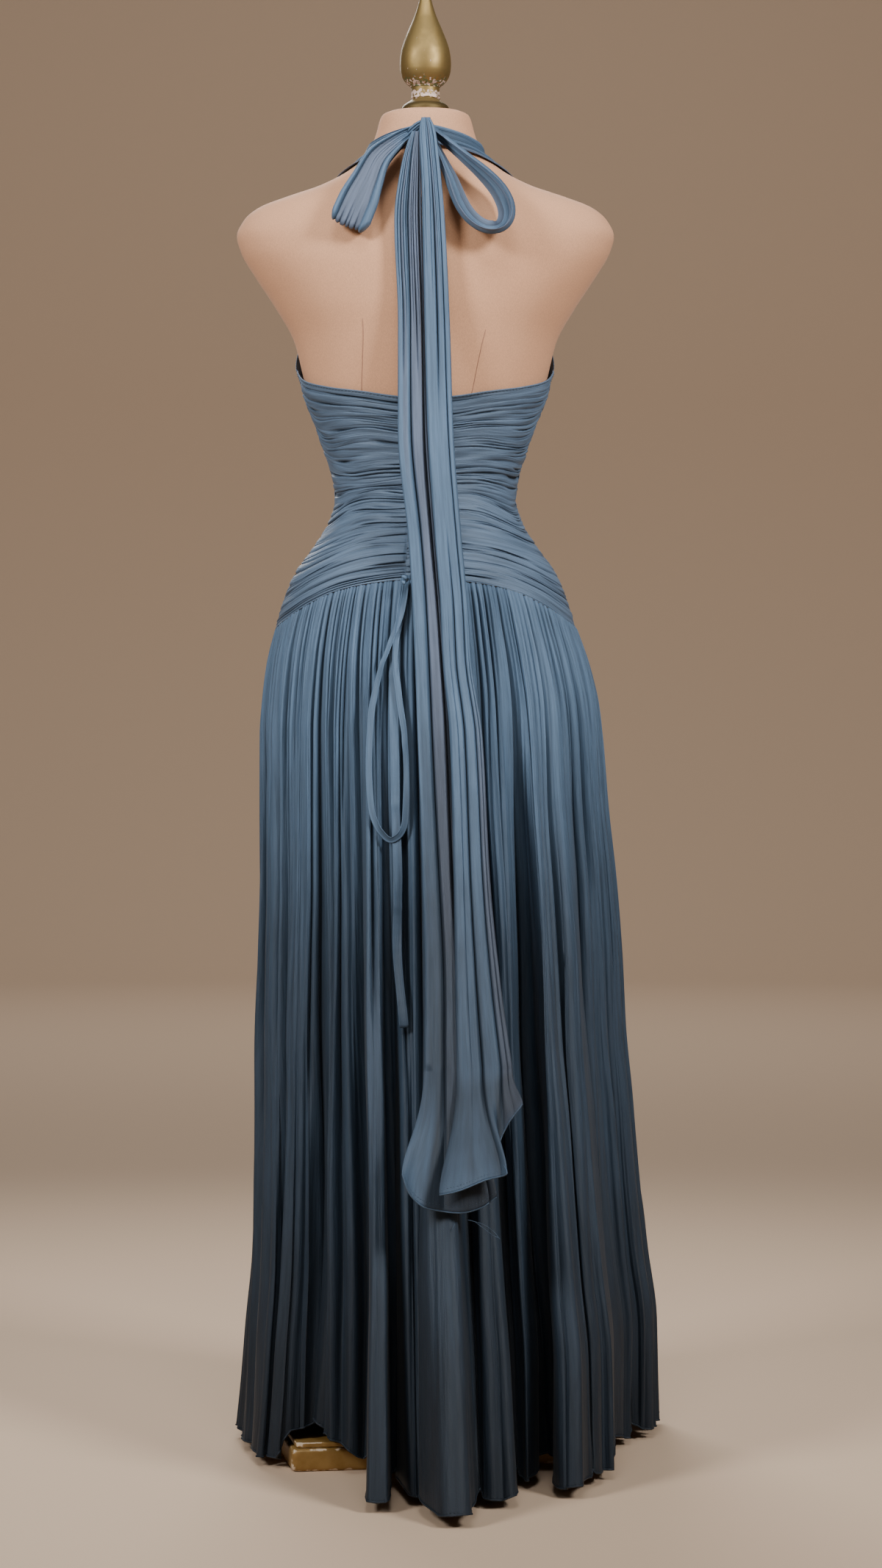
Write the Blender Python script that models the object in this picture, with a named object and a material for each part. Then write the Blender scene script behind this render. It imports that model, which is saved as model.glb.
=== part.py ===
"""An evening gown on a limbless dress form.

A halter gown in crinkled chiffon: a bodice ruched across, a gathered skirt with a short train, and
a bow at the nape whose two ends hang down the back. It is worn by a padded form on a pole and base.

Axes: +Z is up, +Y is the wearer's back and +X the wearer's left. The origin is the middle of the
base's underside. All sizes are metres and all turns are degrees round the body, counted from the
wearer's left (0) over the centre back (90) and the wearer's right (180) to the centre front (270).
"""

import math

import bmesh
import bpy
import numpy as np

GAP = 0.0003  # between neighbouring pieces
CLOTH = 0.0013  # wall of one layer of cloth
BODICE_CLEAR = 0.0019  # the bodice's flat facets cut the corner of a round body by up to 1 mm
SEAM_EASE = 0.0008  # the same for the seam's curve

BASE_SIDE = 0.355
BASE_TURN = 9.6  # the form is turned this much on its base
BASE_THICK = 0.025
BASE_BEVEL = 0.004
TOP_INSET = 0.005
TOP_THICK = 0.006
TOP_BEVEL = 0.0015
BASE_TOP = BASE_THICK + GAP + TOP_THICK
POLE_RADIUS = 0.016
POLE_SIDES = 16

FORM_SIDES = 32
FORM_FOOT = 0.790
CAP_TOP = 1.532
FINIAL_SIDES = 16

CLOSURE = 81.0  # the centre-back closure sits a little to the wearer's left
CLOSURE_LEAN = (1.0, -3.5)  # and leans, from the skirt's seam to the bodice's upper edge
SEAM_RADIUS = {"bodice": 0.10, "skirt": 0.14}  # least distance of the upright seams from the axis
SHARP_EDGE = 50.0
HEM_CLEAR = 0.006  # hem to floor
HEM_OVER_BASE = 0.037  # hem where it lies over the base
HEM_EASE = (0.003, 0.018)  # how far outside the base the hem starts to drop, and reaches the floor


def monotone(xs, ys, at):
    """A smooth curve through the points, read at the places `at`, that never overshoots a point."""
    steps = np.diff(xs)
    slopes = np.diff(ys) / steps
    before, after = slopes[:-1], slopes[1:]
    turning = before * after <= 0
    weight_a = 2 * steps[1:] + steps[:-1]
    weight_b = steps[1:] + 2 * steps[:-1]
    safe_before = np.where(turning, 1.0, before)
    safe_after = np.where(turning, 1.0, after)
    middle = (weight_a + weight_b) / (weight_a / safe_before + weight_b / safe_after)
    tangents = np.concatenate([slopes[:1], np.where(turning, 0.0, middle), slopes[-1:]])
    at = np.clip(at, xs[0], xs[-1])
    left = np.clip(np.searchsorted(xs, at) - 1, 0, len(steps) - 1)
    step = steps[left]
    part = (at - xs[left]) / step
    rise = ys[left + 1] - ys[left]
    bend_a = tangents[left] * step
    bend_b = tangents[left + 1] * step
    eased = part * part * (3 - 2 * part)
    return (
        ys[left]
        + rise * eased
        + bend_a * part * (1 - part) ** 2
        - bend_b * part**2 * (1 - part)
    )


def ease(part):
    """0 to 1 with soft ends."""
    part = np.clip(part, 0.0, 1.0)
    return part * part * (3 - 2 * part)


class Table:
    """Rows of sizes under named columns. The first column, in rising order, is the one looked up."""

    def __init__(self, columns, *rows):
        self.columns = columns.split()
        self.values = np.array(rows, float)

    def column(self, name):
        """All the values of one column."""
        return self.values[:, self.columns.index(name)]

    def at(self, name, key):
        """One column, read smoothly between the rows."""
        return monotone(self.values[:, 0], self.column(name), np.asarray(key, float))


# Half sizes of the form's level sections: to either side, to the back and to the front.
FORM = Table(
    "z side back front",
    (0.790, 0.158, 0.110, 0.094),
    (0.797, 0.168, 0.120, 0.100),
    (0.814, 0.175, 0.127, 0.103),
    (0.850, 0.178, 0.131, 0.104),
    (0.899, 0.174, 0.131, 0.104),
    (0.933, 0.169, 0.128, 0.103),
    (0.967, 0.160, 0.123, 0.102),
    (1.001, 0.1455, 0.113, 0.100),
    (1.035, 0.1215, 0.096, 0.094),
    (1.060, 0.107, 0.084, 0.089),
    (1.086, 0.0998, 0.077, 0.086),
    (1.110, 0.103, 0.079, 0.089),
    (1.145, 0.114, 0.086, 0.099),
    (1.180, 0.1265, 0.093, 0.112),
    (1.205, 0.1365, 0.098, 0.1195),
    (1.235, 0.1430, 0.102, 0.125),
    (1.268, 0.1515, 0.106, 0.122),
    (1.307, 0.173, 0.109, 0.112),
    (1.345, 0.198, 0.107, 0.100),
    (1.371, 0.213, 0.102, 0.090),
    (1.390, 0.218, 0.096, 0.081),
    (1.409, 0.2095, 0.087, 0.071),
    (1.422, 0.194, 0.080, 0.063),
    (1.4345, 0.162, 0.073, 0.056),
    (1.447, 0.125, 0.067, 0.052),
    (1.465, 0.090, 0.061, 0.049),
    (1.487, 0.066, 0.056, 0.049),
    (1.510, 0.0565, 0.053, 0.050),
    (1.525, 0.0525, 0.050, 0.048),
    (1.530, 0.0495, 0.047, 0.045),
    (1.532, 0.0450, 0.043, 0.041),
)

# Height of the seam between bodice and skirt, by the sine of the turn: -1 front, 0 sides, 1 back.
SEAM = Table(
    "facing z",
    (-1.00, 0.918),
    (-0.60, 0.927),
    (0.00, 0.934),
    (0.35, 0.945),
    (0.60, 0.961),
    (0.80, 0.976),
    (1.00, 0.987),
)

# Height of the back bodice's upper edge, in the same way.
BACK_EDGE = Table(
    "facing z",
    (0.00, 1.234),
    (0.25, 1.221),
    (0.65, 1.208),
    (0.87, 1.201),
    (1.00, 1.193),
)

# Height at which the front bodice ends and the gathered cups begin.
BUST_LINE = Table(
    "facing z",
    (-1.00, 1.178),
    (-0.80, 1.184),
    (-0.40, 1.206),
    (0.00, 1.234),
)

# The skirt's smooth outline, between the crests and the hollows of its folds.
SKIRT = Table(
    "z left right back front",
    (0.006, 0.2100, 0.2680, 0.4050, 0.2500),
    (0.049, 0.2060, 0.2670, 0.3940, 0.2420),
    (0.134, 0.2000, 0.2650, 0.3690, 0.2270),
    (0.219, 0.1930, 0.2530, 0.3420, 0.2120),
    (0.304, 0.1910, 0.2440, 0.3140, 0.1970),
    (0.389, 0.1900, 0.2370, 0.2850, 0.1830),
    (0.474, 0.1905, 0.2280, 0.2560, 0.1690),
    (0.559, 0.1890, 0.2230, 0.2270, 0.1560),
    (0.644, 0.1870, 0.2160, 0.2000, 0.1440),
    (0.729, 0.1870, 0.2070, 0.1750, 0.1330),
    (0.814, 0.1870, 0.2010, 0.1560, 0.1230),
    (0.850, 0.1850, 0.1970, 0.1490, 0.1190),
    (0.899, 0.1800, 0.1860, 0.1400, 0.1125),
    (0.933, 0.1735, 0.1755, 0.1335, 0.1085),
    (0.967, 0.1640, 0.1645, 0.1272, 0.1062),
    (1.001, 0.1490, 0.1490, 0.1167, 0.1037),
)

# The folds across the back, at the hem: where each crest and the hollow after it stand, and how
# wide their flat is to either side. x runs to the wearer's left, y to the back.
FOLDS = Table(
    "turn x y flat hollow_turn hollow_x hollow_y hollow_flat",
    (6, 0.208, 0.050, 0.010, 15, 0.196, 0.098, 0.004),
    (24, 0.186, 0.160, 0.009, 33, 0.171, 0.150, 0.003),
    (41, 0.163, 0.185, 0.006, 50, 0.126, 0.186, 0.007),
    (58, 0.097, 0.216, 0.009, 65, 0.064, 0.222, 0.004),
    (71, 0.047, 0.425, 0.009, 77, 0.031, 0.300, 0.003),
    (82, 0.010, 0.388, 0.005, 86, 0.003, 0.395, 0.001),
    (92, -0.029, 0.500, 0.022, 99, -0.060, 0.395, 0.003),
    (104, -0.083, 0.405, 0.010, 109, -0.101, 0.287, 0.002),
    (112.5, -0.110, 0.298, 0.003, 120, -0.134, 0.205, 0.009),
    (127, -0.157, 0.347, 0.012, 133, -0.183, 0.290, 0.003),
    (139, -0.200, 0.248, 0.008, 146, -0.209, 0.110, 0.004),
    (153, -0.227, 0.050, 0.006, 159, -0.238, 0.020, 0.003),
    (168, -0.258, -0.002, 0.010, 176, -0.262, -0.030, 0.003),
)
FLAT_TURN = 1.4  # a crest's two edges lie this far before and after its turn
FOLD_START = 0.08  # the fall at which the folds begin to open
FOLD_GROWTH = 1.3  # how late they open on the way down
HEM_SLANT = 0.045  # the hem's right end stands this far forward of the side
HEM_SLANT_SHARE = 0.25  # and comes back within this share of the front
FRONT_FOLDS = 11
FRONT_FOLD_DEPTH = 0.020
FRONT_UNEVEN = 0.16  # how much the front folds crowd together, and how fast that changes
FRONT_BEAT = 9.0

# Depth of the fine gathers and of the folds that they run into, down the fall of the skirt.
GATHERS = Table(
    "fall fine broad",
    (0.00, 0.0016, 0.0000),
    (0.06, 0.0023, 0.0004),
    (0.14, 0.0024, 0.0014),
    (0.30, 0.0016, 0.0040),
    (0.55, 0.0008, 0.0045),
    (0.80, 0.0004, 0.0030),
    (1.00, 0.0000, 0.0010),
)
BROAD_FOLDS = 32
BROAD_UNEVEN = 1.3  # how much they crowd together, and how often round the body
BROAD_BEAT = 5
SKIRT_FALLS = (0.0, 0.05, 0.13, 0.25, 0.41, 0.60, 0.80, 1.0)
SKIRT_COLUMNS = {"left": 50, "right": 64, "front": 76}
LEAST_STEEP = 0.6  # a slanting wall is thickened by its slant, as far as this

BACK_RUCHES = 24
FRONT_RUCHES = 16
RUCHE_DEPTH = 0.0019
RUCHE_HOLLOW = 0.12  # what is left of it between two ruches
RUCHE_UNEVEN = 0.20  # how much the ruches differ, and how fast that changes
RUCHE_BEAT = 2.3
PANEL_COLUMNS = 8
PLAIN_ROWS = 14

# The halter: the turn and height of its neckline edge and of its armhole edge, from bust to nape.
HALTER = Table(
    "along neckline_turn neckline_z armhole_turn armhole_z",
    (0.00, 270.2, 1.178, 359.9, 1.2343),
    (0.08, 271.5, 1.205, 354.0, 1.2430),
    (0.18, 275.0, 1.245, 340.0, 1.2680),
    (0.30, 279.5, 1.300, 322.0, 1.3120),
    (0.42, 283.5, 1.350, 308.5, 1.3620),
    (0.54, 286.5, 1.405, 303.5, 1.4080),
    (0.64, 303.0, 1.455, 312.0, 1.4340),
    (0.73, 328.0, 1.484, 331.0, 1.4500),
    (0.81, 360.0, 1.492, 360.0, 1.4610),
    (0.90, 395.0, 1.498, 392.0, 1.4740),
    (1.00, 449.7, 1.510, 449.7, 1.4880),
)
HALTER_ALONG = np.concatenate([np.linspace(0.0, 0.6, 9), np.linspace(0.6, 1.0, 13)[1:]])
HALTER_CLEAR = 0.0023
HALTER_RIDGE = 0.0011
HALTER_SETTLE = 0.15  # it leaves the bust line within this share of its length
HALTER_EASE = 0.10  # and its gathers rise within this one

KNOT_CENTRE = (0.003, 0.0679, 1.5030)
KNOT_HALF = (0.0125, 0.0095, 0.0090)
KNOT_PINCH = 0.12

# The bow's flat loop: the outer and inner leg's places from the knot down to the fold.
BOW_LEFT = Table(
    "down x outer_y inner_y z lean width",
    (0.00, 0.0157, 0.0712, 0.0650, 1.5000, 35, 0.012),
    (0.20, 0.0320, 0.0825, 0.0725, 1.4865, 45, 0.018),
    (0.42, 0.0530, 0.0920, 0.0810, 1.4660, 52, 0.028),
    (0.62, 0.0650, 0.0990, 0.0880, 1.4400, 64, 0.036),
    (0.83, 0.0760, 0.1065, 0.0965, 1.4140, 68, 0.044),
    (1.00, 0.0845, 0.1120, 0.1020, 1.3930, 68, 0.045),
)
# The bow's open loop, seen from behind: once round from the knot, with its band standing on edge.
BOW_RIGHT = Table(
    "along x y z width",
    (0.00, -0.0074, 0.0692, 1.4966, 0.008),
    (0.10, -0.0175, 0.0790, 1.4700, 0.018),
    (0.22, -0.0285, 0.0910, 1.4420, 0.028),
    (0.33, -0.0380, 0.1050, 1.4130, 0.034),
    (0.43, -0.0530, 0.1150, 1.3900, 0.036),
    (0.51, -0.0730, 0.1180, 1.3795, 0.036),
    (0.58, -0.0895, 0.1160, 1.3845, 0.036),
    (0.64, -0.0955, 0.1110, 1.4000, 0.036),
    (0.72, -0.0890, 0.1015, 1.4220, 0.034),
    (0.82, -0.0710, 0.0905, 1.4455, 0.028),
    (0.92, -0.0430, 0.0820, 1.4700, 0.018),
    (1.00, -0.0102, 0.0700, 1.5035, 0.008),
)
BOW_FOLD = (0.0022, 0.0, -0.0050)  # the flat loop's fold, past the ends of its two legs
BOW_TILT = 24.0  # the open loop's band leans this much off level
BOW_PLEATS = 3
BOW_PLEAT_SHARE = 0.022  # depth of a pleat as a share of the band's width
BOW_ROWS = 12

# The long ends of the bow: left and right edge by height, then the shape of the flared hem.
TAIL_LEFT = Table(
    "z left right",
    (0.455, 0.0004, -0.0480),
    (0.543, -0.0004, -0.0428),
    (0.649, 0.0020, -0.0352),
    (0.812, 0.0078, -0.0274),
    (0.952, 0.0135, -0.0176),
    (1.031, 0.0185, -0.0111),
    (1.152, 0.0301, -0.0029),
    (1.275, 0.0301, 0.0004),
    (1.392, 0.0344, 0.0037),
    (1.440, 0.0260, 0.0044),
    (1.495, 0.0115, 0.0042),
)
TAIL_LEFT_HEM = Table(
    "across x z out",
    (0.00, 0.0228, 0.3490, 0.000),
    (0.15, 0.0150, 0.3280, 0.001),
    (0.35, -0.0040, 0.3120, 0.003),
    (0.60, -0.0375, 0.3070, 0.001),
    (0.80, -0.0600, 0.3120, -0.001),
    (1.00, -0.0765, 0.3230, 0.000),
)
TAIL_RIGHT = Table(
    "z left right",
    (0.455, -0.0345, -0.0939),
    (0.543, -0.0332, -0.0819),
    (0.649, -0.0319, -0.0716),
    (0.812, -0.0274, -0.0633),
    (0.894, -0.0200, -0.0512),
    (0.952, -0.0176, -0.0480),
    (1.031, -0.0111, -0.0407),
    (1.152, -0.0029, -0.0317),
    (1.275, 0.0004, -0.0277),
    (1.392, 0.0030, -0.0220),
    (1.440, 0.0034, -0.0170),
    (1.495, 0.0036, -0.0060),
)
TAIL_RIGHT_HEM = Table(
    "across x z out",
    (0.00, -0.0160, 0.3280, 0.009),
    (0.15, -0.0360, 0.3330, 0.010),
    (0.35, -0.0620, 0.3420, 0.010),
    (0.55, -0.0870, 0.3514, 0.008),
    (0.70, -0.0780, 0.3710, 0.003),
    (0.85, -0.0880, 0.3970, 0.001),
    (1.00, -0.1044, 0.4189, 0.001),
)
TAIL_TOP = 1.4948
TAIL_FLARE = 0.455  # below this the tails open out to their hems
TAIL_PLEATS = 5
TAIL_ROWS = 16
TAIL_FLARE_ROWS = 4
TAIL_WALL = 0.0016
TAIL_SPAN = 0.020  # how much wider the flared hems reach
TAIL_LAYER = 0.0068  # from one tail to the other where they overlap
TAIL_PLEAT_SHARE = 0.045  # depth of a pleat as a share of the tail's width
TAIL_FLARE_PLEAT = 0.0024  # the same where the hem opens out, and how much of it is lost there
TAIL_FLARE_LOSS = 0.6
TAIL_FLARE_OUT = 0.0022
TAIL_EASE = 0.05  # the two tails part within this length below the knot
FLARE_EASE = 0.12
TAIL_REST_INSET = 0.004  # they rest on what lies this far to either side of them
HANG_FOOT = 0.02  # they hang free down to this far below the seam
# How far behind the axis the tails hang where nothing carries them, from the hips to the nape.
TAIL_HANG = Table(
    "z out",
    (0.880, 0.1510),
    (0.930, 0.1480),
    (1.330, 0.1170),
    (1.400, 0.1080),
    (1.495, 0.0680),
)

# The ribbon at the foot of the closure: its loop and its free end, as seen from behind.
RIBBON_LOOP = Table(
    "along x z",
    (0.00, 0.0200, 0.9910),
    (0.06, 0.0255, 0.9519),
    (0.13, 0.0390, 0.9130),
    (0.20, 0.0521, 0.8735),
    (0.27, 0.0602, 0.8283),
    (0.34, 0.0622, 0.7791),
    (0.42, 0.0590, 0.7301),
    (0.47, 0.0483, 0.7042),
    (0.50, 0.0376, 0.6953),
    (0.53, 0.0270, 0.7018),
    (0.57, 0.0215, 0.7172),
    (0.64, 0.0200, 0.7627),
    (0.71, 0.0215, 0.8028),
    (0.79, 0.0290, 0.8554),
    (0.86, 0.0332, 0.8998),
)
RIBBON_END = Table(
    "along x z",
    (0.00, 0.0290, 0.9410),
    (0.10, 0.0333, 0.9188),
    (0.19, 0.0349, 0.8693),
    (0.28, 0.0340, 0.8209),
    (0.48, 0.0321, 0.7245),
    (0.64, 0.0295, 0.6502),
    (0.80, 0.0301, 0.5859),
    (1.00, 0.0219, 0.4922),
)
RIBBON_WALL = 0.0012
RIBBON_LOOP_WIDTH = 0.006
RIBBON_END_WIDTH = 0.011
RIBBON_ROWS = 30
RIBBON_SPAN = 0.014  # it rests on the crests this far to either side
RIBBON_TOP = 0.004  # above this far below the seam it stands off the cloth no further
RIBBON_LIFT = {"end": 0.0016, "loop": 0.0042}

# The finial's turned outline.
FINIAL = Table(
    "z radius",
    (0.0000, 0.0265),
    (0.0035, 0.0272),
    (0.0075, 0.0215),
    (0.0120, 0.0165),
    (0.0270, 0.0165),
    (0.0300, 0.0236),
    (0.0380, 0.0250),
    (0.0420, 0.0272),
    (0.0520, 0.0292),
    (0.0640, 0.0290),
    (0.0800, 0.0246),
    (0.0980, 0.0170),
    (0.1170, 0.0104),
    (0.1390, 0.0062),
    (0.1600, 0.0014),
)


def unit(vectors):
    """The vectors at length one."""
    return vectors / np.linalg.norm(vectors, axis=-1, keepdims=True)


def level_normal(turn, side, depth):
    """The outward level direction of an ellipse at a turn."""
    turn = np.radians(turn)
    flat = np.stack([np.cos(turn) / side, np.sin(turn) / depth, np.zeros_like(turn)], -1)
    return unit(flat)


def form_point(turn, z, out=0.0):
    """The point of the form's cover at a turn and a height, or that far out from it."""
    turn, z, out = np.broadcast_arrays(*(np.asarray(value, float) for value in (turn, z, out)))
    radians = np.radians(turn)
    side = FORM.at("side", z)
    depth = np.where(np.sin(radians) >= 0, FORM.at("back", z), FORM.at("front", z))
    skin = np.stack([side * np.cos(radians), depth * np.sin(radians), z], -1)
    return skin + level_normal(turn, side, depth) * out[..., None]


def seam_height(turn):
    """The seam between bodice and skirt, by turn."""
    return SEAM.at("z", np.sin(np.radians(turn)))


def new_mesh(name, points, faces, material):
    """An object from points and faces, its faces turned outwards."""
    mesh = bpy.data.meshes.new(name)
    mesh.from_pydata([tuple(map(float, point)) for point in points], [], faces)
    work = bmesh.new()
    work.from_mesh(mesh)
    bmesh.ops.recalc_face_normals(work, faces=work.faces)
    work.to_mesh(mesh)
    work.free()
    mesh.materials.append(material)
    mesh.shade_smooth()
    mesh.set_sharp_from_angle(angle=math.radians(SHARP_EDGE))
    piece = bpy.data.objects.new(name, mesh)
    bpy.context.scene.collection.objects.link(piece)
    return piece


def zip_edges(first, second):
    """Triangles between two runs of point numbers that need not be equally long."""
    faces = []
    i = j = 0
    while i < len(first) - 1 or j < len(second) - 1:
        next_i = (i + 1) / (len(first) - 1)
        next_j = (j + 1) / (len(second) - 1)
        if j == len(second) - 1 or (i < len(first) - 1 and next_i <= next_j):
            faces.append((first[i], first[i + 1], second[j]))
            i += 1
        else:
            faces.append((first[i], second[j + 1], second[j]))
            j += 1
    return faces


def cloth_wall(name, outer, inner, material):
    """A closed wall between an outer and an inner grid of points [row][column].

    The grids have the same columns. The inner one may have fewer rows.
    """
    rows, columns = outer.shape[:2]
    inner_rows = inner.shape[0]
    start = rows * columns
    faces = []
    for count, offset in ((rows, 0), (inner_rows, start)):
        for row in range(count - 1):
            for column in range(columns - 1):
                corner = offset + row * columns + column
                faces.append((corner, corner + 1, corner + 1 + columns, corner + columns))
    for outer_row, inner_row in ((0, 0), (rows - 1, inner_rows - 1)):
        for column in range(columns - 1):
            a = outer_row * columns + column
            b = start + inner_row * columns + column
            faces.append((a, a + 1, b + 1, b))
    for column in (0, columns - 1):
        outer_edge = [row * columns + column for row in range(rows)]
        inner_edge = [start + row * columns + column for row in range(inner_rows)]
        faces += zip_edges(outer_edge, inner_edge)
    points = np.concatenate([outer.reshape(-1, 3), inner.reshape(-1, 3)])
    return new_mesh(name, points, faces, material)


def lofted(name, rings, material):
    """A closed solid through rings of points, capped flat at both ends."""
    count = len(rings[0])
    faces = [tuple(range(count)), tuple(range((len(rings) - 1) * count, len(rings) * count))]
    for ring in range(len(rings) - 1):
        for point in range(count):
            a = ring * count + point
            b = ring * count + (point + 1) % count
            faces.append((a, b, b + count, a + count))
    return new_mesh(name, np.concatenate(rings), faces, material)


def finish(name, colour, roughness, metallic=0.0):
    """A plain finish."""
    material = bpy.data.materials.new(name)
    material.use_nodes = True
    shader = material.node_tree.nodes["Principled BSDF"]
    shader.inputs["Base Color"].default_value = (*colour, 1.0)
    shader.inputs["Roughness"].default_value = roughness
    shader.inputs["Metallic"].default_value = metallic
    material.diffuse_color = (*colour, 1.0)
    return material


def make_form(material):
    """The padded form, from its flat underside to its neck cap."""
    turns = np.linspace(0.0, 360.0, FORM_SIDES, endpoint=False)
    rings = [form_point(turns, z) for z in FORM.column("z")]
    lofted("form_torso", rings, material)


def make_finial(material):
    """The turned finial, standing on the neck cap."""
    turns = np.linspace(0.0, 2 * math.pi, FINIAL_SIDES, endpoint=False)
    foot = CAP_TOP + GAP
    rings = [
        np.stack(
            [radius * np.cos(turns), radius * np.sin(turns), np.full(FINIAL_SIDES, foot + z)], -1
        )
        for z, radius in FINIAL.values
    ]
    lofted("finial", rings, material)


def make_slab(name, side, thickness, foot, bevel, material):
    """A square slab with softened edges, turned as the base is."""
    mesh = bpy.data.meshes.new(name)
    work = bmesh.new()
    bmesh.ops.create_cube(work, size=1.0)
    bmesh.ops.scale(work, vec=(side, side, thickness), verts=work.verts)
    bmesh.ops.translate(work, vec=(0, 0, foot + thickness / 2), verts=work.verts)
    work.to_mesh(mesh)
    work.free()
    mesh.materials.append(material)
    slab = bpy.data.objects.new(name, mesh)
    slab.rotation_euler.z = math.radians(BASE_TURN)
    bpy.context.scene.collection.objects.link(slab)
    edges = slab.modifiers.new("softened edges", "BEVEL")
    edges.width = bevel
    edges.segments = 2
    edges.limit_method = "ANGLE"
    return slab


def make_stand(paint, wood):
    """The two slabs of the base, and the pole up to the form's underside."""
    make_slab("base_lower", BASE_SIDE, BASE_THICK, 0.0, BASE_BEVEL, paint)
    top_side = BASE_SIDE - 2 * TOP_INSET
    make_slab("base_upper", top_side, TOP_THICK, BASE_THICK + GAP, TOP_BEVEL, paint)
    turns = np.linspace(0.0, 2 * math.pi, POLE_SIDES, endpoint=False)
    circle = np.stack([POLE_RADIUS * np.cos(turns), POLE_RADIUS * np.sin(turns)], -1)
    rings = [
        np.column_stack([circle, np.full(POLE_SIDES, z)]) for z in (BASE_TOP + GAP, FORM_FOOT - GAP)
    ]
    lofted("pole", rings, wood)


def ruched_panel(name, first_turns, last_turns, foot, top, ruches, material):
    """A panel of the bodice, ruched across: ridges on its outer face over a plain inside.

    first_turns and last_turns are its two upright edges' turns at the foot and at the top.
    """
    across = np.linspace(0.0, 1.0, PANEL_COLUMNS + 1)

    def grid(rises, out):
        rises = rises[:, None]
        first = first_turns[0] + (first_turns[1] - first_turns[0]) * rises
        last = last_turns[0] + (last_turns[1] - last_turns[0]) * rises
        turns = first + (last - first) * across
        low = foot(turns) + GAP / 2 + SEAM_EASE
        high = top(turns) - GAP / 2
        return form_point(turns, low + (high - low) * rises, out)

    outer_rises = np.linspace(0.0, 1.0, 2 * ruches + 1)
    crest = np.arange(2 * ruches + 1) % 2
    uneven = 1 - RUCHE_UNEVEN + RUCHE_UNEVEN * np.sin(RUCHE_BEAT * np.arange(2 * ruches + 1))
    height = BODICE_CLEAR + CLOTH + RUCHE_DEPTH * np.where(crest == 1, uneven, RUCHE_HOLLOW)
    outer = grid(outer_rises, height[:, None])
    inner = grid(np.linspace(0.0, 1.0, PLAIN_ROWS + 1), BODICE_CLEAR)
    cloth_wall(name, outer, inner, material)


def half_gap_turn(radius):
    """The turn of half a seam's gap at a radius."""
    return math.degrees(GAP / 2 / radius)


def make_bodice(material):
    """Two back halves and two front halves, ruched across."""
    slip = half_gap_turn(SEAM_RADIUS["bodice"])

    def back_edge(turns):
        return BACK_EDGE.at("z", np.sin(np.radians(turns)))

    def bust_line(turns):
        return BUST_LINE.at("z", np.sin(np.radians(turns)))

    def upright(turn):
        return np.array([turn, turn])

    closure = CLOSURE + np.array(CLOSURE_LEAN)
    halves = (
        ("bodice_back_left", upright(0), closure, back_edge, BACK_RUCHES),
        ("bodice_back_right", closure, upright(180), back_edge, BACK_RUCHES),
        ("bodice_front_right", upright(180), upright(270), bust_line, FRONT_RUCHES),
        ("bodice_front_left", upright(270), upright(360), bust_line, FRONT_RUCHES),
    )
    for name, first, last, top, ruches in halves:
        ruched_panel(name, first + slip, last - slip, seam_height, top, ruches, material)


def hem_knots():
    """Turn, x and y of the crests' and hollows' edges along the hem across the back."""
    _, left, right, _, _ = SKIRT.values[0]
    knots = [(0.0, left, 0.0)]
    for row in FOLDS.values:
        for turn, x, y, flat in (row[:4], row[4:]):
            angle = math.radians(turn)
            along = np.array([-math.sin(angle), math.cos(angle)]) * flat
            knots.append((turn - FLAT_TURN, x - along[0], y - along[1]))
            knots.append((turn + FLAT_TURN, x + along[0], y + along[1]))
    knots.append((180.0, -right, -HEM_SLANT))
    return np.array(knots)


HEM_KNOTS = hem_knots()


def outline_at(turn, z):
    """The skirt's smooth outline at a turn and a height, and its outward level direction."""
    radians = np.radians(turn)
    side = np.where(np.cos(radians) >= 0, SKIRT.at("left", z), SKIRT.at("right", z))
    depth = np.where(np.sin(radians) >= 0, SKIRT.at("back", z), SKIRT.at("front", z))
    flat = np.stack([side * np.cos(radians), depth * np.sin(radians)], -1)
    return flat, level_normal(turn, side, depth)[..., :2]


def hem_place(turn):
    """Where the hem runs, seen from above."""
    turn = np.asarray(turn, float)
    back = np.stack([monotone(HEM_KNOTS[:, 0], HEM_KNOTS[:, i], turn) for i in (1, 2)], -1)
    flat, outward = outline_at(turn, np.full_like(turn, HEM_CLEAR))
    front = np.clip((turn - 180.0) / 180.0, 0.0, 1.0)
    swing = np.sin(math.pi * front) ** 0.5
    wave = np.cos(2 * math.pi * (FRONT_FOLDS * front + FRONT_UNEVEN * np.sin(FRONT_BEAT * front)))
    shift = -HEM_SLANT * (1 - ease(front / HEM_SLANT_SHARE))
    folded = flat + outward * (FRONT_FOLD_DEPTH * swing * wave)[..., None]
    folded = folded + np.stack([np.zeros_like(shift), shift], -1)
    return np.where((turn <= 180.0)[..., None], back, folded)


def outside_base(flat):
    """How far a place lies outside the base, seen from above; negative over the base."""
    angle = math.radians(BASE_TURN)
    u = np.abs(flat[..., 0] * math.cos(angle) + flat[..., 1] * math.sin(angle)) - BASE_SIDE / 2
    v = np.abs(flat[..., 1] * math.cos(angle) - flat[..., 0] * math.sin(angle)) - BASE_SIDE / 2
    beyond = np.hypot(np.maximum(u, 0.0), np.maximum(v, 0.0))
    return np.where(beyond > 0, beyond, np.maximum(u, v))


def hem_height(turn):
    """The hem's height: just off the floor, and lifted where it lies over the base."""
    start, end = HEM_EASE
    dropped = ease((outside_base(hem_place(turn)) - start) / (end - start))
    return HEM_OVER_BASE + (HEM_CLEAR - HEM_OVER_BASE) * dropped


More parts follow.
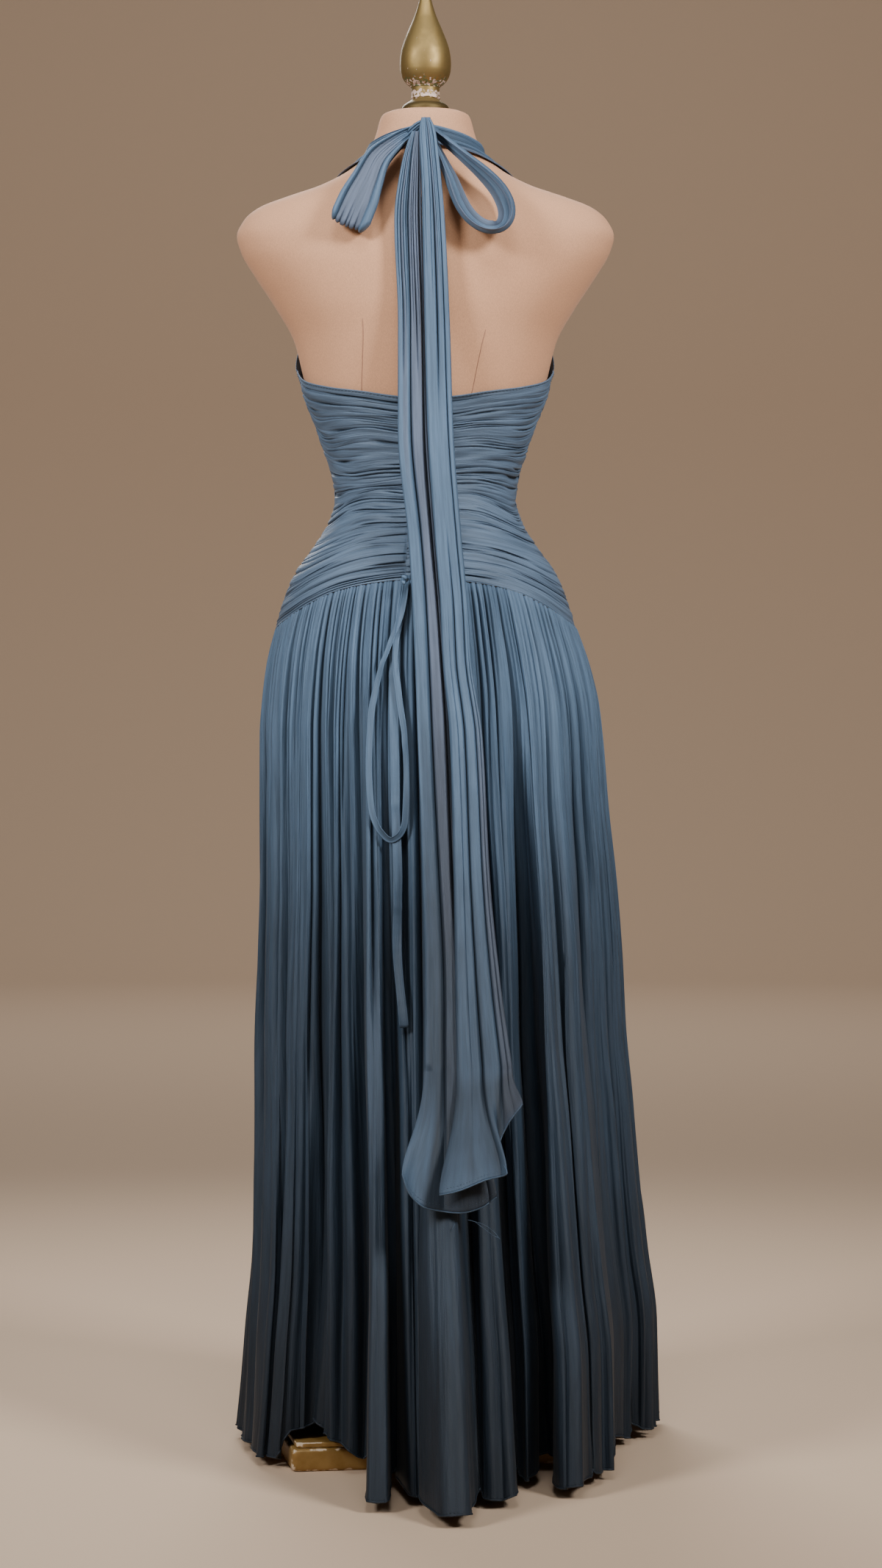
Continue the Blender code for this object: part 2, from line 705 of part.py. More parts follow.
def skirt_middle(turn, fall, gather):
    """The middle of the skirt's cloth at a turn, from the seam (fall 0) to the hem (fall 1).

    gather is -1 in the hollow of a fine gather and 1 on its crest.
    """
    turn, fall, gather = np.broadcast_arrays(
        *(np.asarray(value, float) for value in (turn, fall, gather))
    )
    top = seam_height(turn) - GAP / 2
    z = top + (hem_height(turn) - top) * fall
    flat, outward = outline_at(turn, z)
    hem_flat, _ = outline_at(turn, np.full_like(z, HEM_CLEAR))
    opened = np.clip((fall - FOLD_START) / (1 - FOLD_START), 0.0, 1.0)
    growth = (opened**FOLD_GROWTH)[..., None]
    crowd = BROAD_UNEVEN * np.sin(np.radians(BROAD_BEAT * turn))
    broad = np.cos(np.radians(BROAD_FOLDS * turn) + crowd)
    depth = GATHERS.at("fine", fall) * gather + GATHERS.at("broad", fall) * broad
    flat = flat + (hem_place(turn) - hem_flat) * growth + outward * depth[..., None]
    return np.concatenate([flat, z[..., None]], -1)


def skirt_wall(turns, falls, gathers):
    """The outer and the inner face of a stretch of the skirt, as grids [fall][turn]."""
    fall = np.asarray(falls, float)[:, None]
    middle = skirt_middle(turns, fall, gathers)
    turn_step, fall_step = 0.25, 0.004
    before, after = turns - turn_step, turns + turn_step
    above, below = np.maximum(fall - fall_step, 0.0), np.minimum(fall + fall_step, 1.0)
    along = skirt_middle(after, fall, 0.0) - skirt_middle(before, fall, 0.0)
    down = skirt_middle(turns, below, 0.0) - skirt_middle(turns, above, 0.0)
    normal = unit(np.cross(down, along))
    level = normal * np.array([1.0, 1.0, 0.0])
    steep = np.linalg.norm(level, axis=-1, keepdims=True)
    half = level / steep * (CLOTH / 2) / np.maximum(steep, LEAST_STEEP)
    return middle + half, middle - half


def make_skirt(material):
    """Three panels, gathered to the bodice and opening into folds down to the hem."""
    slip = half_gap_turn(SEAM_RADIUS["skirt"])
    closure = CLOSURE + CLOSURE_LEAN[0]
    panels = (
        ("skirt_back_left", 0.0, closure, SKIRT_COLUMNS["left"]),
        ("skirt_back_right", closure, 180.0, SKIRT_COLUMNS["right"]),
        ("skirt_front", 180.0, 360.0, SKIRT_COLUMNS["front"]),
    )
    for name, first, last, columns in panels:
        turns = np.linspace(first + slip, last - slip, columns + 1)
        gathers = np.where(np.arange(columns + 1) % 2 == 0, -1.0, 1.0)
        outer, inner = skirt_wall(turns, SKIRT_FALLS, gathers)
        cloth_wall(name, outer, inner, material)


def back_of_skirt(z, left, right):
    """The furthest back that the skirt reaches at a height, between two places across."""
    turns = np.linspace(30.0, 150.0, 721)
    top = seam_height(turns) - GAP / 2
    fall = np.clip((top - z) / (top - hem_height(turns)), 0.0, 1.0)
    places = skirt_middle(turns, fall, 1.0)
    across = (places[:, 0] <= left) & (places[:, 0] >= right)
    return float(places[across, 1].max()) + CLOTH


def halter_point(along, across, out, side):
    """A point of the halter: along from the bust to the nape, across from neckline to armhole."""
    neck_turn, neck_z, arm_turn, arm_z = (HALTER.at(name, along) for name in HALTER.columns[1:])
    turn = neck_turn + (arm_turn - neck_turn) * across
    z = neck_z + (arm_z - neck_z) * across
    start_turn = HALTER.values[0, 1] + (HALTER.values[0, 3] - HALTER.values[0, 1]) * across
    start_z = HALTER.values[0, 2] + (HALTER.values[0, 4] - HALTER.values[0, 2]) * across
    bust = BUST_LINE.at("z", np.sin(np.radians(start_turn))) + GAP / 2
    settle = 1 - ease(along / HALTER_SETTLE)
    z = z + (bust - start_z) * settle
    skin = form_point(turn, z)
    step = 0.4
    rise = 0.001
    around = form_point(turn + step, z) - form_point(turn - step, z)
    up = form_point(turn, z + rise) - form_point(turn, z - rise)
    true_normal = unit(np.cross(around, up))
    level = unit(true_normal * np.array([1.0, 1.0, 0.0]))
    mixed = unit(level + (true_normal - level) * (1 - settle)[..., None])
    point = skin + mixed * out[..., None]
    return point * np.array([side, 1.0, 1.0])


def make_halters(material):
    """A cup and strap on either side, gathered along its length."""
    across = np.linspace(0.0, 1.0, PANEL_COLUMNS + 1)[None, :]
    across, along = np.broadcast_arrays(across, HALTER_ALONG[:, None])
    ridge = np.where(np.arange(PANEL_COLUMNS + 1) % 2 == 1, 1.0, 0.0)
    rounded = HALTER_RIDGE * ridge * ease(along / HALTER_EASE)
    for name, side in (("halter_left", 1.0), ("halter_right", -1.0)):
        outer = halter_point(along, across, HALTER_CLEAR + CLOTH + rounded, side)
        inner = halter_point(along, across, np.full(along.shape, HALTER_CLEAR), side)
        cloth_wall(name, outer, inner, material)


def make_knot(material):
    """The knot at the nape: one rounded wrap."""
    knot = bpy.data.meshes.new("knot")
    work = bmesh.new()
    bmesh.ops.create_uvsphere(work, u_segments=14, v_segments=8, radius=1.0)
    for vertex in work.verts:
        pinch = 1.0 - KNOT_PINCH * math.cos(math.pi * vertex.co.x) * abs(vertex.co.z)
        vertex.co = [
            centre + half * value * pinch
            for centre, half, value in zip(KNOT_CENTRE, KNOT_HALF, vertex.co)
        ]
    work.to_mesh(knot)
    work.free()
    knot.materials.append(material)
    knot.shade_smooth()
    bpy.context.scene.collection.objects.link(bpy.data.objects.new("knot", knot))


def band(name, path, across, widths, pleats, depth, wall, material):
    """A pleated band along a path. across is the band's width direction at each point."""
    step = np.gradient(path, axis=0)
    normal = unit(np.cross(across, step))
    columns = max(1, 2 * pleats)
    places = np.linspace(-0.5, 0.5, columns + 1)
    wave = np.where(np.arange(columns + 1) % 2 == 0, -1.0, 1.0)
    middle = path[:, None] + across[:, None] * (widths[:, None] * places)[..., None]
    middle = middle + normal[:, None] * (depth[:, None] * wave)[..., None]
    half = normal[:, None] * wall / 2
    cloth_wall(name, middle + half, middle - half, material)


def make_bow(material):
    """The flat loop on the left, folded at its foot, and the open loop on the right."""
    rows = np.linspace(0.0, 1.0, BOW_ROWS)
    legs = {
        leg: np.stack([BOW_LEFT.at(name, rows) for name in ("x", leg, "z")], -1)
        for leg in ("outer_y", "inner_y")
    }
    fold = (legs["outer_y"][-1] + legs["inner_y"][-1]) / 2 + np.array(BOW_FOLD)
    path = np.concatenate([legs["outer_y"], fold[None], legs["inner_y"][::-1]])
    down = np.concatenate([rows, [1.0], rows[::-1]])
    lean = np.radians(BOW_LEFT.at("lean", down))
    across = np.stack([np.sin(lean), np.zeros_like(lean), np.cos(lean)], -1)
    widths = BOW_LEFT.at("width", down)
    depth = widths * BOW_PLEAT_SHARE
    band("bow_left", path, across, widths, BOW_PLEATS, depth, CLOTH, material)

    along = np.linspace(0.0, 1.0, 2 * BOW_ROWS)
    path = np.stack([BOW_RIGHT.at(name, along) for name in ("x", "y", "z")], -1)
    step = unit(np.gradient(path, axis=0))
    outward = unit(np.cross(step, np.array([0.0, 1.0, 0.0])))
    tilt = math.radians(BOW_TILT)
    across = np.array([0.0, 1.0, 0.0]) * math.cos(tilt) + outward * math.sin(tilt)
    across = unit(across - step * (across * step).sum(-1, keepdims=True))
    widths = BOW_RIGHT.at("width", along)
    depth = widths * BOW_PLEAT_SHARE
    band("bow_right", path, across, widths, BOW_PLEATS, depth, CLOTH, material)


def tail_rest(z):
    """How far back the tails lie at a height: on the skirt's crests, or hanging free above them."""
    hang = float(TAIL_HANG.at("out", z)) if z > TAIL_HANG.values[0, 0] else 0.0
    if z > float(seam_height(np.array(90.0))) - HANG_FOOT:
        return hang
    spread = TAIL_SPAN * float(ease((TAIL_FLARE - z) / FLARE_EASE)) + TAIL_REST_INSET
    left = float(TAIL_LEFT.at("left", z)) + spread
    right = float(TAIL_RIGHT.at("right", z)) - spread
    return max(hang, back_of_skirt(z, left, right))


def make_tail(name, edges, hem, layer, material):
    """A long pleated end of the bow, opening out to a flared hem."""
    columns = 2 * TAIL_PLEATS
    across = np.linspace(0.0, 1.0, columns + 1)
    wave = np.where(np.arange(columns + 1) % 2 == 0, -1.0, 1.0)
    straight = np.linspace(TAIL_TOP, TAIL_FLARE, TAIL_ROWS - TAIL_FLARE_ROWS + 1)
    rows = []
    for z in straight:
        left, right = float(edges.at("left", z)), float(edges.at("right", z))
        deep = TAIL_PLEAT_SHARE * (left - right)
        loose = layer * float(ease((TAIL_TOP - z) / TAIL_EASE))
        x = left + (right - left) * across
        y = tail_rest(z) + TAIL_WALL / 2 + deep + loose + deep * wave
        rows.append(np.stack([x, y, np.full(columns + 1, z)], -1))
    hem_x, hem_z, hem_out = (hem.at(key, across) for key in ("x", "z", "out"))
    above = rows[-1]
    for part in np.linspace(0.0, 1.0, TAIL_FLARE_ROWS + 1)[1:]:
        x = above[:, 0] + (hem_x - above[:, 0]) * ease((part + part * part) / 2)
        z = above[:, 2] + (hem_z - above[:, 2]) * part
        rest = np.array([tail_rest(height) for height in z])
        deep = TAIL_FLARE_PLEAT * (1 - TAIL_FLARE_LOSS * part)
        y = rest + TAIL_WALL / 2 + TAIL_FLARE_OUT + layer + deep * wave + hem_out * part
        rows.append(np.stack([x, y, z], -1))
    middle = np.array(rows)
    half = np.array([0.0, TAIL_WALL / 2, 0.0])
    cloth_wall(name, middle + half, middle - half, material)


def make_ribbon(name, course, width, lift, material):
    """A flat stretch of ribbon lying on the skirt's crests."""
    along = np.linspace(course.values[0, 0], course.values[-1, 0], RIBBON_ROWS)
    x = course.at("x", along)
    z = course.at("z", along)
    level = np.minimum(z, float(seam_height(np.array(CLOSURE))) - RIBBON_TOP)
    rest = [
        back_of_skirt(height, place + RIBBON_SPAN, place - RIBBON_SPAN)
        for place, height in zip(x, level)
    ]
    path = np.stack([x, np.array(rest) + lift, z], -1)
    step = unit(np.gradient(path, axis=0))
    across = unit(np.cross(step, np.array([0.0, 1.0, 0.0])))
    widths = np.full(RIBBON_ROWS, width)
    band(name, path, across, widths, 0, np.zeros(RIBBON_ROWS), RIBBON_WALL, material)


def main():
    """Clear the scene and make every piece."""
    for thing in list(bpy.data.objects):
        bpy.data.objects.remove(thing)
    chiffon = finish("crinkled chiffon", (0.105, 0.137, 0.185), 0.62)
    jersey = finish("form cover", (0.56, 0.37, 0.27), 0.85)
    gilt = finish("antique gold wood", (0.36, 0.26, 0.12), 0.42, 0.55)
    paint = finish("gold painted base", (0.30, 0.19, 0.05), 0.5, 0.3)
    wood = finish("pole wood", (0.10, 0.06, 0.035), 0.55)
    make_form(jersey)
    make_finial(gilt)
    make_stand(paint, wood)
    make_bodice(chiffon)
    make_halters(chiffon)
    make_skirt(chiffon)
    make_knot(chiffon)
    make_bow(chiffon)
    make_tail("tail_left", TAIL_LEFT, TAIL_LEFT_HEM, 0.0, chiffon)
    make_tail("tail_right", TAIL_RIGHT, TAIL_RIGHT_HEM, TAIL_LAYER, chiffon)
    make_ribbon("ribbon_end", RIBBON_END, RIBBON_END_WIDTH, RIBBON_LIFT["end"], chiffon)
    make_ribbon("ribbon_loop", RIBBON_LOOP, RIBBON_LOOP_WIDTH, RIBBON_LIFT["loop"], chiffon)


main()
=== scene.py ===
"""The looks of an evening gown in crinkled chiffon, worn by a limbless dress form.

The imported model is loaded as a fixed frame, and each of its pieces gets its fine form and finish
here. Axes as in the frame: +Z is up, +Y is the wearer's back and +X the wearer's left. All sizes
are metres and all turns are degrees round the body, counted from the wearer's left (0) over the
centre back (90) and the wearer's right (180) to the centre front (270).
"""

import logging
import math
from dataclasses import dataclass, field
from enum import Enum

import bpy
import numpy as np
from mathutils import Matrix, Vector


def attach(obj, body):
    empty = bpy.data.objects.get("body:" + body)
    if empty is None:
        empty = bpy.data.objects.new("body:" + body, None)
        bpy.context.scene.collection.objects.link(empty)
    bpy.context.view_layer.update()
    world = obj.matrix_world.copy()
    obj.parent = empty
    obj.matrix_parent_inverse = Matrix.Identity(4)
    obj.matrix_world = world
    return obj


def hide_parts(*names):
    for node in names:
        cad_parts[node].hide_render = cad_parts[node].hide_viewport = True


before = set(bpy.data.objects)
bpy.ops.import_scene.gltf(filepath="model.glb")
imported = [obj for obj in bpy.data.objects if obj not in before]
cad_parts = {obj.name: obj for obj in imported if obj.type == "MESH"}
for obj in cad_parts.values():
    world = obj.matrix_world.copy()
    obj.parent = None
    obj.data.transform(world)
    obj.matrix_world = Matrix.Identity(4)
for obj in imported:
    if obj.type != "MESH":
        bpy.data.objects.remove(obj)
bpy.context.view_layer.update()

LOG = logging.getLogger("gown")
Coat, Colour, Random = dict[str, object], tuple[float, float, float], np.random.Generator
Array, Piece, Material = np.ndarray, bpy.types.Object, bpy.types.Material
Node, Tree, Socket = bpy.types.Node, bpy.types.NodeTree, bpy.types.NodeSocket

GAP = 0.0003  # between neighbouring pieces
CLOSURE = 81.0  # the centre-back closure sits a little to the wearer's left
CLOSURE_LEAN = (1.0, -3.5)  # and leans, from the skirt's seam to the bodice's upper edge
FINIAL_FOOT = 1.5323  # height of the finial's foot
BASE_SIDE = 0.355  # side of the base's lower slab
BASE_TURN = 9.6  # how much the base is turned
BODICE_OUT = 0.0051  # the crests of the bodice's ruches stand this far off the form
RUCHE_CUT = 0.0041  # how deep a ruche is cut at most
UP, BACK = np.array([0.0, 0.0, 1.0]), np.array([0.0, 1.0, 0.0])


# ---- Curves and tables ----


def monotone(xs: Array, ys: Array, at: Array) -> Array:
    """Read a smooth curve through points, which never overshoots a point.

    Args:
        xs: The points' keys, in rising order.
        ys: The points' values.
        at: The keys to read at.

    Returns:
        The values there.
    """
    steps = np.diff(xs)
    slopes = np.diff(ys) / steps
    before, after = slopes[:-1], slopes[1:]
    turning = before * after <= 0
    weight_a = 2 * steps[1:] + steps[:-1]
    weight_b = steps[1:] + 2 * steps[:-1]
    safe_before = np.where(turning, 1.0, before)
    safe_after = np.where(turning, 1.0, after)
    middle = (weight_a + weight_b) / (weight_a / safe_before + weight_b / safe_after)
    tangents = np.concatenate([slopes[:1], np.where(turning, 0.0, middle), slopes[-1:]])
    at = np.clip(at, xs[0], xs[-1])
    left = np.clip(np.searchsorted(xs, at) - 1, 0, len(steps) - 1)
    step = steps[left]
    part = (at - xs[left]) / step
    rise = ys[left + 1] - ys[left]
    bend_a = tangents[left] * step
    bend_b = tangents[left + 1] * step
    eased = part * part * (3 - 2 * part)
    return (
        ys[left]
        + rise * eased
        + bend_a * part * (1 - part) ** 2
        - bend_b * part**2 * (1 - part)
    )


def ease(part: Array) -> Array:
    """Go from 0 to 1 with soft ends."""
    part = np.clip(part, 0.0, 1.0)
    return part * part * (3 - 2 * part)


def bell(places: Array, middle: float, width: float) -> Array:
    """Go up to 1 at the middle and back to 0."""
    return np.exp(-(((places - middle) / width) ** 2))


def unit(vectors: Array) -> Array:
    """Return the vectors at length one."""
    return vectors / np.maximum(np.linalg.norm(vectors, axis=-1, keepdims=True), 1e-12)


class Table:
    """Rows of sizes under named columns. The first column, in rising order, is looked up."""

    def __init__(self, columns: str, rows: str) -> None:
        """Keep the rows.

        Args:
            columns: The columns' names.
            rows: The rows of numbers, with a semicolon between rows.
        """
        self.columns = columns.split()
        self.values = np.array([row.split() for row in rows.split(";")]).astype(float)

    def column(self, name: str) -> Array:
        """Return all the values of one column."""
        return self.values[:, self.columns.index(name)]

    def spread(self, count: int) -> Array:
        """Return keys from the first to the last, evenly spread over the rows."""
        keys = self.values[:, 0]
        return np.interp(np.linspace(0, len(keys) - 1, count), np.arange(len(keys)), keys)

    def at(self, name: str, key: Array) -> Array:
        """Read one column smoothly between the rows."""
        return monotone(self.values[:, 0], self.column(name), np.asarray(key, float))

    def facing(self, turn: Array) -> Array:
        """Read the height at a turn, where the rows go by the sine of the turn."""
        return self.at("z", np.sin(np.radians(turn)))

    def points(self, names: str, key: Array) -> Array:
        """Read a point from three columns."""
        return np.stack([self.at(name, key) for name in names.split()], -1)


# Half sizes of the form's level sections: to either side, to the back and to the front.
FORM = Table("z side back front", """
    0.79 0.158 0.11 0.094; 0.797 0.168 0.12 0.1; 0.814 0.175 0.127 0.103; 0.85 0.178 0.131 0.104;
    0.899 0.174 0.131 0.104; 0.933 0.169 0.128 0.103; 0.967 0.16 0.123 0.102;
    1.001 0.1455 0.113 0.1; 1.035 0.1215 0.096 0.094; 1.06 0.107 0.084 0.089;
    1.086 0.0998 0.077 0.086; 1.11 0.103 0.079 0.089; 1.145 0.114 0.086 0.099;
    1.18 0.1265 0.093 0.112; 1.205 0.1365 0.098 0.1195; 1.235 0.143 0.102 0.125;
    1.268 0.1515 0.106 0.122; 1.307 0.173 0.109 0.112; 1.345 0.198 0.107 0.1;
    1.371 0.213 0.102 0.09; 1.39 0.218 0.096 0.081; 1.409 0.2095 0.087 0.071;
    1.422 0.194 0.08 0.063; 1.4345 0.162 0.073 0.056; 1.447 0.125 0.067 0.052;
    1.465 0.09 0.061 0.049; 1.487 0.066 0.056 0.049; 1.51 0.0565 0.053 0.05;
    1.525 0.0525 0.05 0.048; 1.53 0.0495 0.047 0.045; 1.532 0.045 0.043 0.041
""")

# Height of the seam between bodice and skirt, by the sine of the turn: -1 front, 0 sides, 1 back.
SEAM = Table("facing z", """
    -1 0.918; -0.6 0.927; 0 0.934; 0.35 0.945; 0.6 0.961; 0.8 0.976; 1 0.987
""")

# Height of the back bodice's upper edge, in the same way.
BACK_EDGE = Table("facing z", """
    0 1.234; 0.25 1.221; 0.65 1.208; 0.87 1.201; 1 1.193
""")

# Height at which the front bodice ends and the gathered cups begin.
BUST_LINE = Table("facing z", """
    -1 1.178; -0.8 1.184; -0.4 1.206; 0 1.234
""")

# The skirt's smooth outline, between the crests and the hollows of its folds.
SKIRT = Table("z left right back front", """
    0.006 0.21 0.268 0.405 0.25; 0.049 0.206 0.267 0.394 0.242; 0.134 0.2 0.265 0.369 0.227;
    0.219 0.193 0.253 0.342 0.212; 0.304 0.191 0.244 0.314 0.197; 0.389 0.19 0.237 0.285 0.183;
    0.474 0.1905 0.228 0.256 0.169; 0.559 0.189 0.223 0.227 0.156; 0.644 0.187 0.216 0.2 0.144;
    0.729 0.187 0.207 0.175 0.133; 0.814 0.187 0.201 0.156 0.123; 0.85 0.185 0.197 0.149 0.119;
    0.899 0.18 0.186 0.14 0.1125; 0.933 0.1735 0.1755 0.1335 0.1085;
    0.967 0.164 0.1645 0.1272 0.1062; 1.001 0.149 0.149 0.1167 0.1037
""")

# The folds across the back, at the hem: where each crest and the hollow after it stand, and how
# wide their flat is to either side. x runs to the wearer's left, y to the back.
FOLDS = Table("turn x y flat hollow_turn hollow_x hollow_y hollow_flat", """
    6 0.208 0.05 0.01 15 0.196 0.098 0.004; 24 0.186 0.16 0.009 33 0.171 0.15 0.003;
    41 0.163 0.185 0.006 50 0.126 0.186 0.007; 58 0.097 0.216 0.009 65 0.064 0.222 0.004;
    71 0.047 0.425 0.009 77 0.031 0.3 0.003; 82 0.01 0.388 0.005 86 0.003 0.395 0.001;
    92 -0.029 0.496 0.018 99 -0.06 0.395 0.003; 104 -0.083 0.405 0.01 109 -0.101 0.287 0.002;
    112.5 -0.11 0.298 0.003 120 -0.134 0.205 0.009; 127 -0.157 0.347 0.012 133 -0.183 0.29 0.003;
    139 -0.2 0.248 0.008 146 -0.209 0.11 0.004; 153 -0.227 0.05 0.006 159 -0.238 0.02 0.003;
    168 -0.258 -0.002 0.01 176 -0.262 -0.03 0.003
""")

# The fine gathers' crests, the broad folds under them and the valleys between, down the skirt.
GATHERS = Table("fall crest broad", """
    0 0.001 0; 0.02 0.0018 0.0002; 0.06 0.0024 0.0004; 0.14 0.0026 0.0012; 0.3 0.0024 0.0026;
    0.55 0.0022 0.0032; 0.8 0.0016 0.0024; 1 0.0006 0.0008
""")

# How deep the gathers' valleys are cut under their crests, down the skirt.
VALLEYS = Table("fall depth", """
    0 0.0028; 0.01 0.0044; 0.04 0.0064; 0.12 0.0088; 0.25 0.013; 0.4 0.0185; 0.6 0.0245;
    0.82 0.019; 0.95 0.012; 1 0.007
""")

# The halter: the turn and height of its neckline edge and of its armhole edge, from bust to nape.
HALTER = Table("along neckline_turn neckline_z armhole_turn armhole_z", """
    0 270.2 1.178 359.9 1.2343; 0.08 271.5 1.205 354 1.243; 0.18 275 1.245 340 1.268;
    0.3 279.5 1.3 322 1.312; 0.42 283.5 1.35 308.5 1.362; 0.54 286.5 1.405 303.5 1.408;
    0.64 303 1.455 312 1.434; 0.73 328 1.484 331 1.45; 0.81 360 1.492 360 1.461;
    0.9 395 1.498 392 1.474; 1 449.7 1.51 449.7 1.488
""")

# The bow's flat loop: the outer and inner leg's places from the knot down to the fold.
BOW_LEFT = Table("down x outer_y inner_y z lean width", """
    0 0.009 0.07 0.064 1.503 30 0.009; 0.2 0.032 0.0825 0.0725 1.4865 45 0.018;
    0.42 0.053 0.092 0.081 1.466 52 0.028; 0.62 0.065 0.099 0.088 1.44 64 0.036;
    0.83 0.076 0.1065 0.0965 1.414 68 0.044; 1 0.0845 0.112 0.102 1.393 68 0.045
""")
# The bow's open loop, seen from behind: once round from the knot, with its band standing on edge.
BOW_RIGHT = Table("along x y z width", """
    0 -0.0074 0.0692 1.4966 0.008; 0.1 -0.0175 0.079 1.47 0.018; 0.22 -0.0285 0.091 1.442 0.028;
    0.33 -0.038 0.105 1.413 0.034; 0.43 -0.053 0.115 1.39 0.036; 0.51 -0.073 0.118 1.3795 0.036;
    0.58 -0.0895 0.116 1.3845 0.036; 0.64 -0.0955 0.111 1.4 0.036; 0.72 -0.089 0.1015 1.422 0.034;
    0.82 -0.071 0.0905 1.4455 0.028; 0.92 -0.043 0.082 1.47 0.018; 1 -0.003 0.066 1.5055 0.008
""")

# The long ends of the bow: left and right edge by height, then the shape of the flared hem.
TAIL_LEFT = Table("z left right", """
    0.455 0.0004 -0.048; 0.543 -0.0004 -0.0428; 0.649 0.002 -0.0352; 0.812 0.0078 -0.0274;
    0.952 0.0135 -0.0176; 1.031 0.0185 -0.0111; 1.152 0.0301 -0.0029; 1.275 0.0301 0.0004;
    1.392 0.0344 0.0037; 1.453 0.0272 0.0048; 1.48 0.0205 0.0058; 1.4955 0.015 0.007
""")
TAIL_LEFT_HEM = Table("across x z out", """
    0 0.0228 0.349 0; 0.15 0.015 0.328 0.001; 0.35 -0.004 0.312 0.003; 0.6 -0.0375 0.307 0.001;
    0.8 -0.06 0.312 -0.001; 1 -0.0765 0.323 0
""")
TAIL_RIGHT = Table("z left right", """
    0.455 -0.0345 -0.0939; 0.543 -0.0332 -0.0819; 0.649 -0.0319 -0.0716; 0.812 -0.0274 -0.0633;
    0.894 -0.02 -0.0512; 0.952 -0.0176 -0.048; 1.031 -0.0111 -0.0407; 1.152 -0.0029 -0.0317;
    1.275 0.0004 -0.0277; 1.392 0.003 -0.022; 1.44 0.004 -0.018; 1.47 0.0056 -0.015;
    1.492 0.0066 -0.0125; 1.504 0.0062 -0.0095; 1.511 0.0042 -0.006
""")
TAIL_RIGHT_HEM = Table("across x z out", """
    0 -0.016 0.328 0.009; 0.15 -0.036 0.333 0.01; 0.35 -0.062 0.342 0.01; 0.55 -0.087 0.3514 0.008;
    0.7 -0.078 0.371 0.003; 0.85 -0.088 0.397 0.001; 1 -0.1044 0.4189 0.001
""")
# How far behind the axis the tails hang where nothing carries them, from the hips to the nape.
TAIL_HANG = Table("z out", """
    0.88 0.151; 0.93 0.148; 1.33 0.115; 1.4 0.104; 1.45 0.088; 1.48 0.078; 1.503 0.0735;
    1.511 0.067
""")

# The pleats of the tails: the place across, from the left edge, 0, to the right, 1; the width; the
# depth; and where each starts and ends down the tail.
PLEATS_LEFT = Table("place width depth start end", """
    -0.02 0.05 0.6 -1 2; 0.1 0.018 0.55 -1 0.22; 0.2 0.026 0.8 -1 0.3; 0.32 0.022 0.7 -1 0.25;
    0.41 0.02 0.6 -1 0.2; 0.48 0.052 1.1 -1 1.6; 0.6 0.022 0.75 -1 0.24; 0.7 0.026 0.8 -1 0.3;
    0.79 0.022 0.75 -1 0.26; 0.9 0.04 0.9 -1 1.3; 1.02 0.08 0.7 -1 2
""")
PLEATS_RIGHT = Table("place width depth start end", """
    -0.02 0.05 0.9 -1 2; 0.15 0.018 0.35 -1 0.2; 0.27 0.016 0.22 0.5 1.5; 0.38 0.02 0.45 -1 0.22;
    0.5 0.04 1.1 -1 0.34; 0.47 0.04 1 0.42 1.3; 0.64 0.02 0.55 -1 0.2; 0.72 0.018 0.4 -1 0.24;
    0.8 0.03 0.8 -1 1.5; 0.92 0.02 0.4 0.5 1.2; 1.02 0.06 0.6 -1 2
""")

# The ribbon at the foot of the closure: its loop and its free end, as seen from behind.
RIBBON_LOOP = Table("along x z", """
    0 0.02 0.991; 0.06 0.0255 0.9519; 0.13 0.039 0.913; 0.2 0.0521 0.8735; 0.27 0.0602 0.8283;
    0.34 0.0622 0.7791; 0.42 0.059 0.7301; 0.47 0.0483 0.7042; 0.5 0.0376 0.6953;
    0.53 0.027 0.7018; 0.57 0.0215 0.7172; 0.64 0.02 0.7627; 0.71 0.0215 0.8028; 0.79 0.029 0.8554;
    0.86 0.0332 0.8998; 0.93 0.029 0.945; 1 0.022 0.987
""")
RIBBON_END = Table("along x z", """
    -0.1 0.0222 0.987; 0 0.029 0.941; 0.1 0.0333 0.9188; 0.19 0.0349 0.8693; 0.28 0.034 0.8209;
    0.48 0.0321 0.7245; 0.64 0.0295 0.6502; 0.8 0.0301 0.5859; 1 0.0219 0.4922
""")

# The finial's turned outline, above the neck cap.
FINIAL = Table("z radius", """
    0 0.0268; 0.003 0.0274; 0.0057 0.0273; 0.0087 0.0258; 0.0122 0.0213; 0.0156 0.0167;
    0.0166 0.016; 0.0172 0.017; 0.0184 0.017; 0.0192 0.0162; 0.03 0.0162; 0.0306 0.0171;
    0.0314 0.0172; 0.0322 0.0186; 0.0367 0.0237; 0.0409 0.0264; 0.0452 0.0281; 0.0496 0.0291;
    0.0564 0.0296; 0.0626 0.0294; 0.0713 0.0283; 0.0799 0.026; 0.0973 0.0193; 0.1146 0.0121;
    0.132 0.0069; 0.148 0.0037; 0.158 0.002; 0.16 0.0008
""")


# ---- Shapes of the form and of the skirt ----


def level_normal(turn: Array, side: Array, depth: Array) -> Array:
    """Return the outward level direction at a turn of an ellipse, by its two half sizes."""
    turn = np.radians(turn)
    return unit(np.stack([np.cos(turn) / side, np.sin(turn) / depth, np.zeros_like(turn)], -1))


def form_point(turn: Array, z: Array, out: Array = 0.0) -> Array:
    """Find the point of the form's cover at a turn and a height.

    Args:
        turn: The turn, in degrees.
        z: The height.
        out: How far out from the cover.

    Returns:
        Points.
    """
    turn, z, out = np.broadcast_arrays(*(np.asarray(value, float) for value in (turn, z, out)))
    radians = np.radians(turn)
    side = FORM.at("side", z)
    depth = np.where(np.sin(radians) >= 0, FORM.at("back", z), FORM.at("front", z))
    skin = np.stack([side * np.cos(radians), depth * np.sin(radians), z], -1)
    return skin + level_normal(turn, side, depth) * out[..., None]


# ---- Creases ----


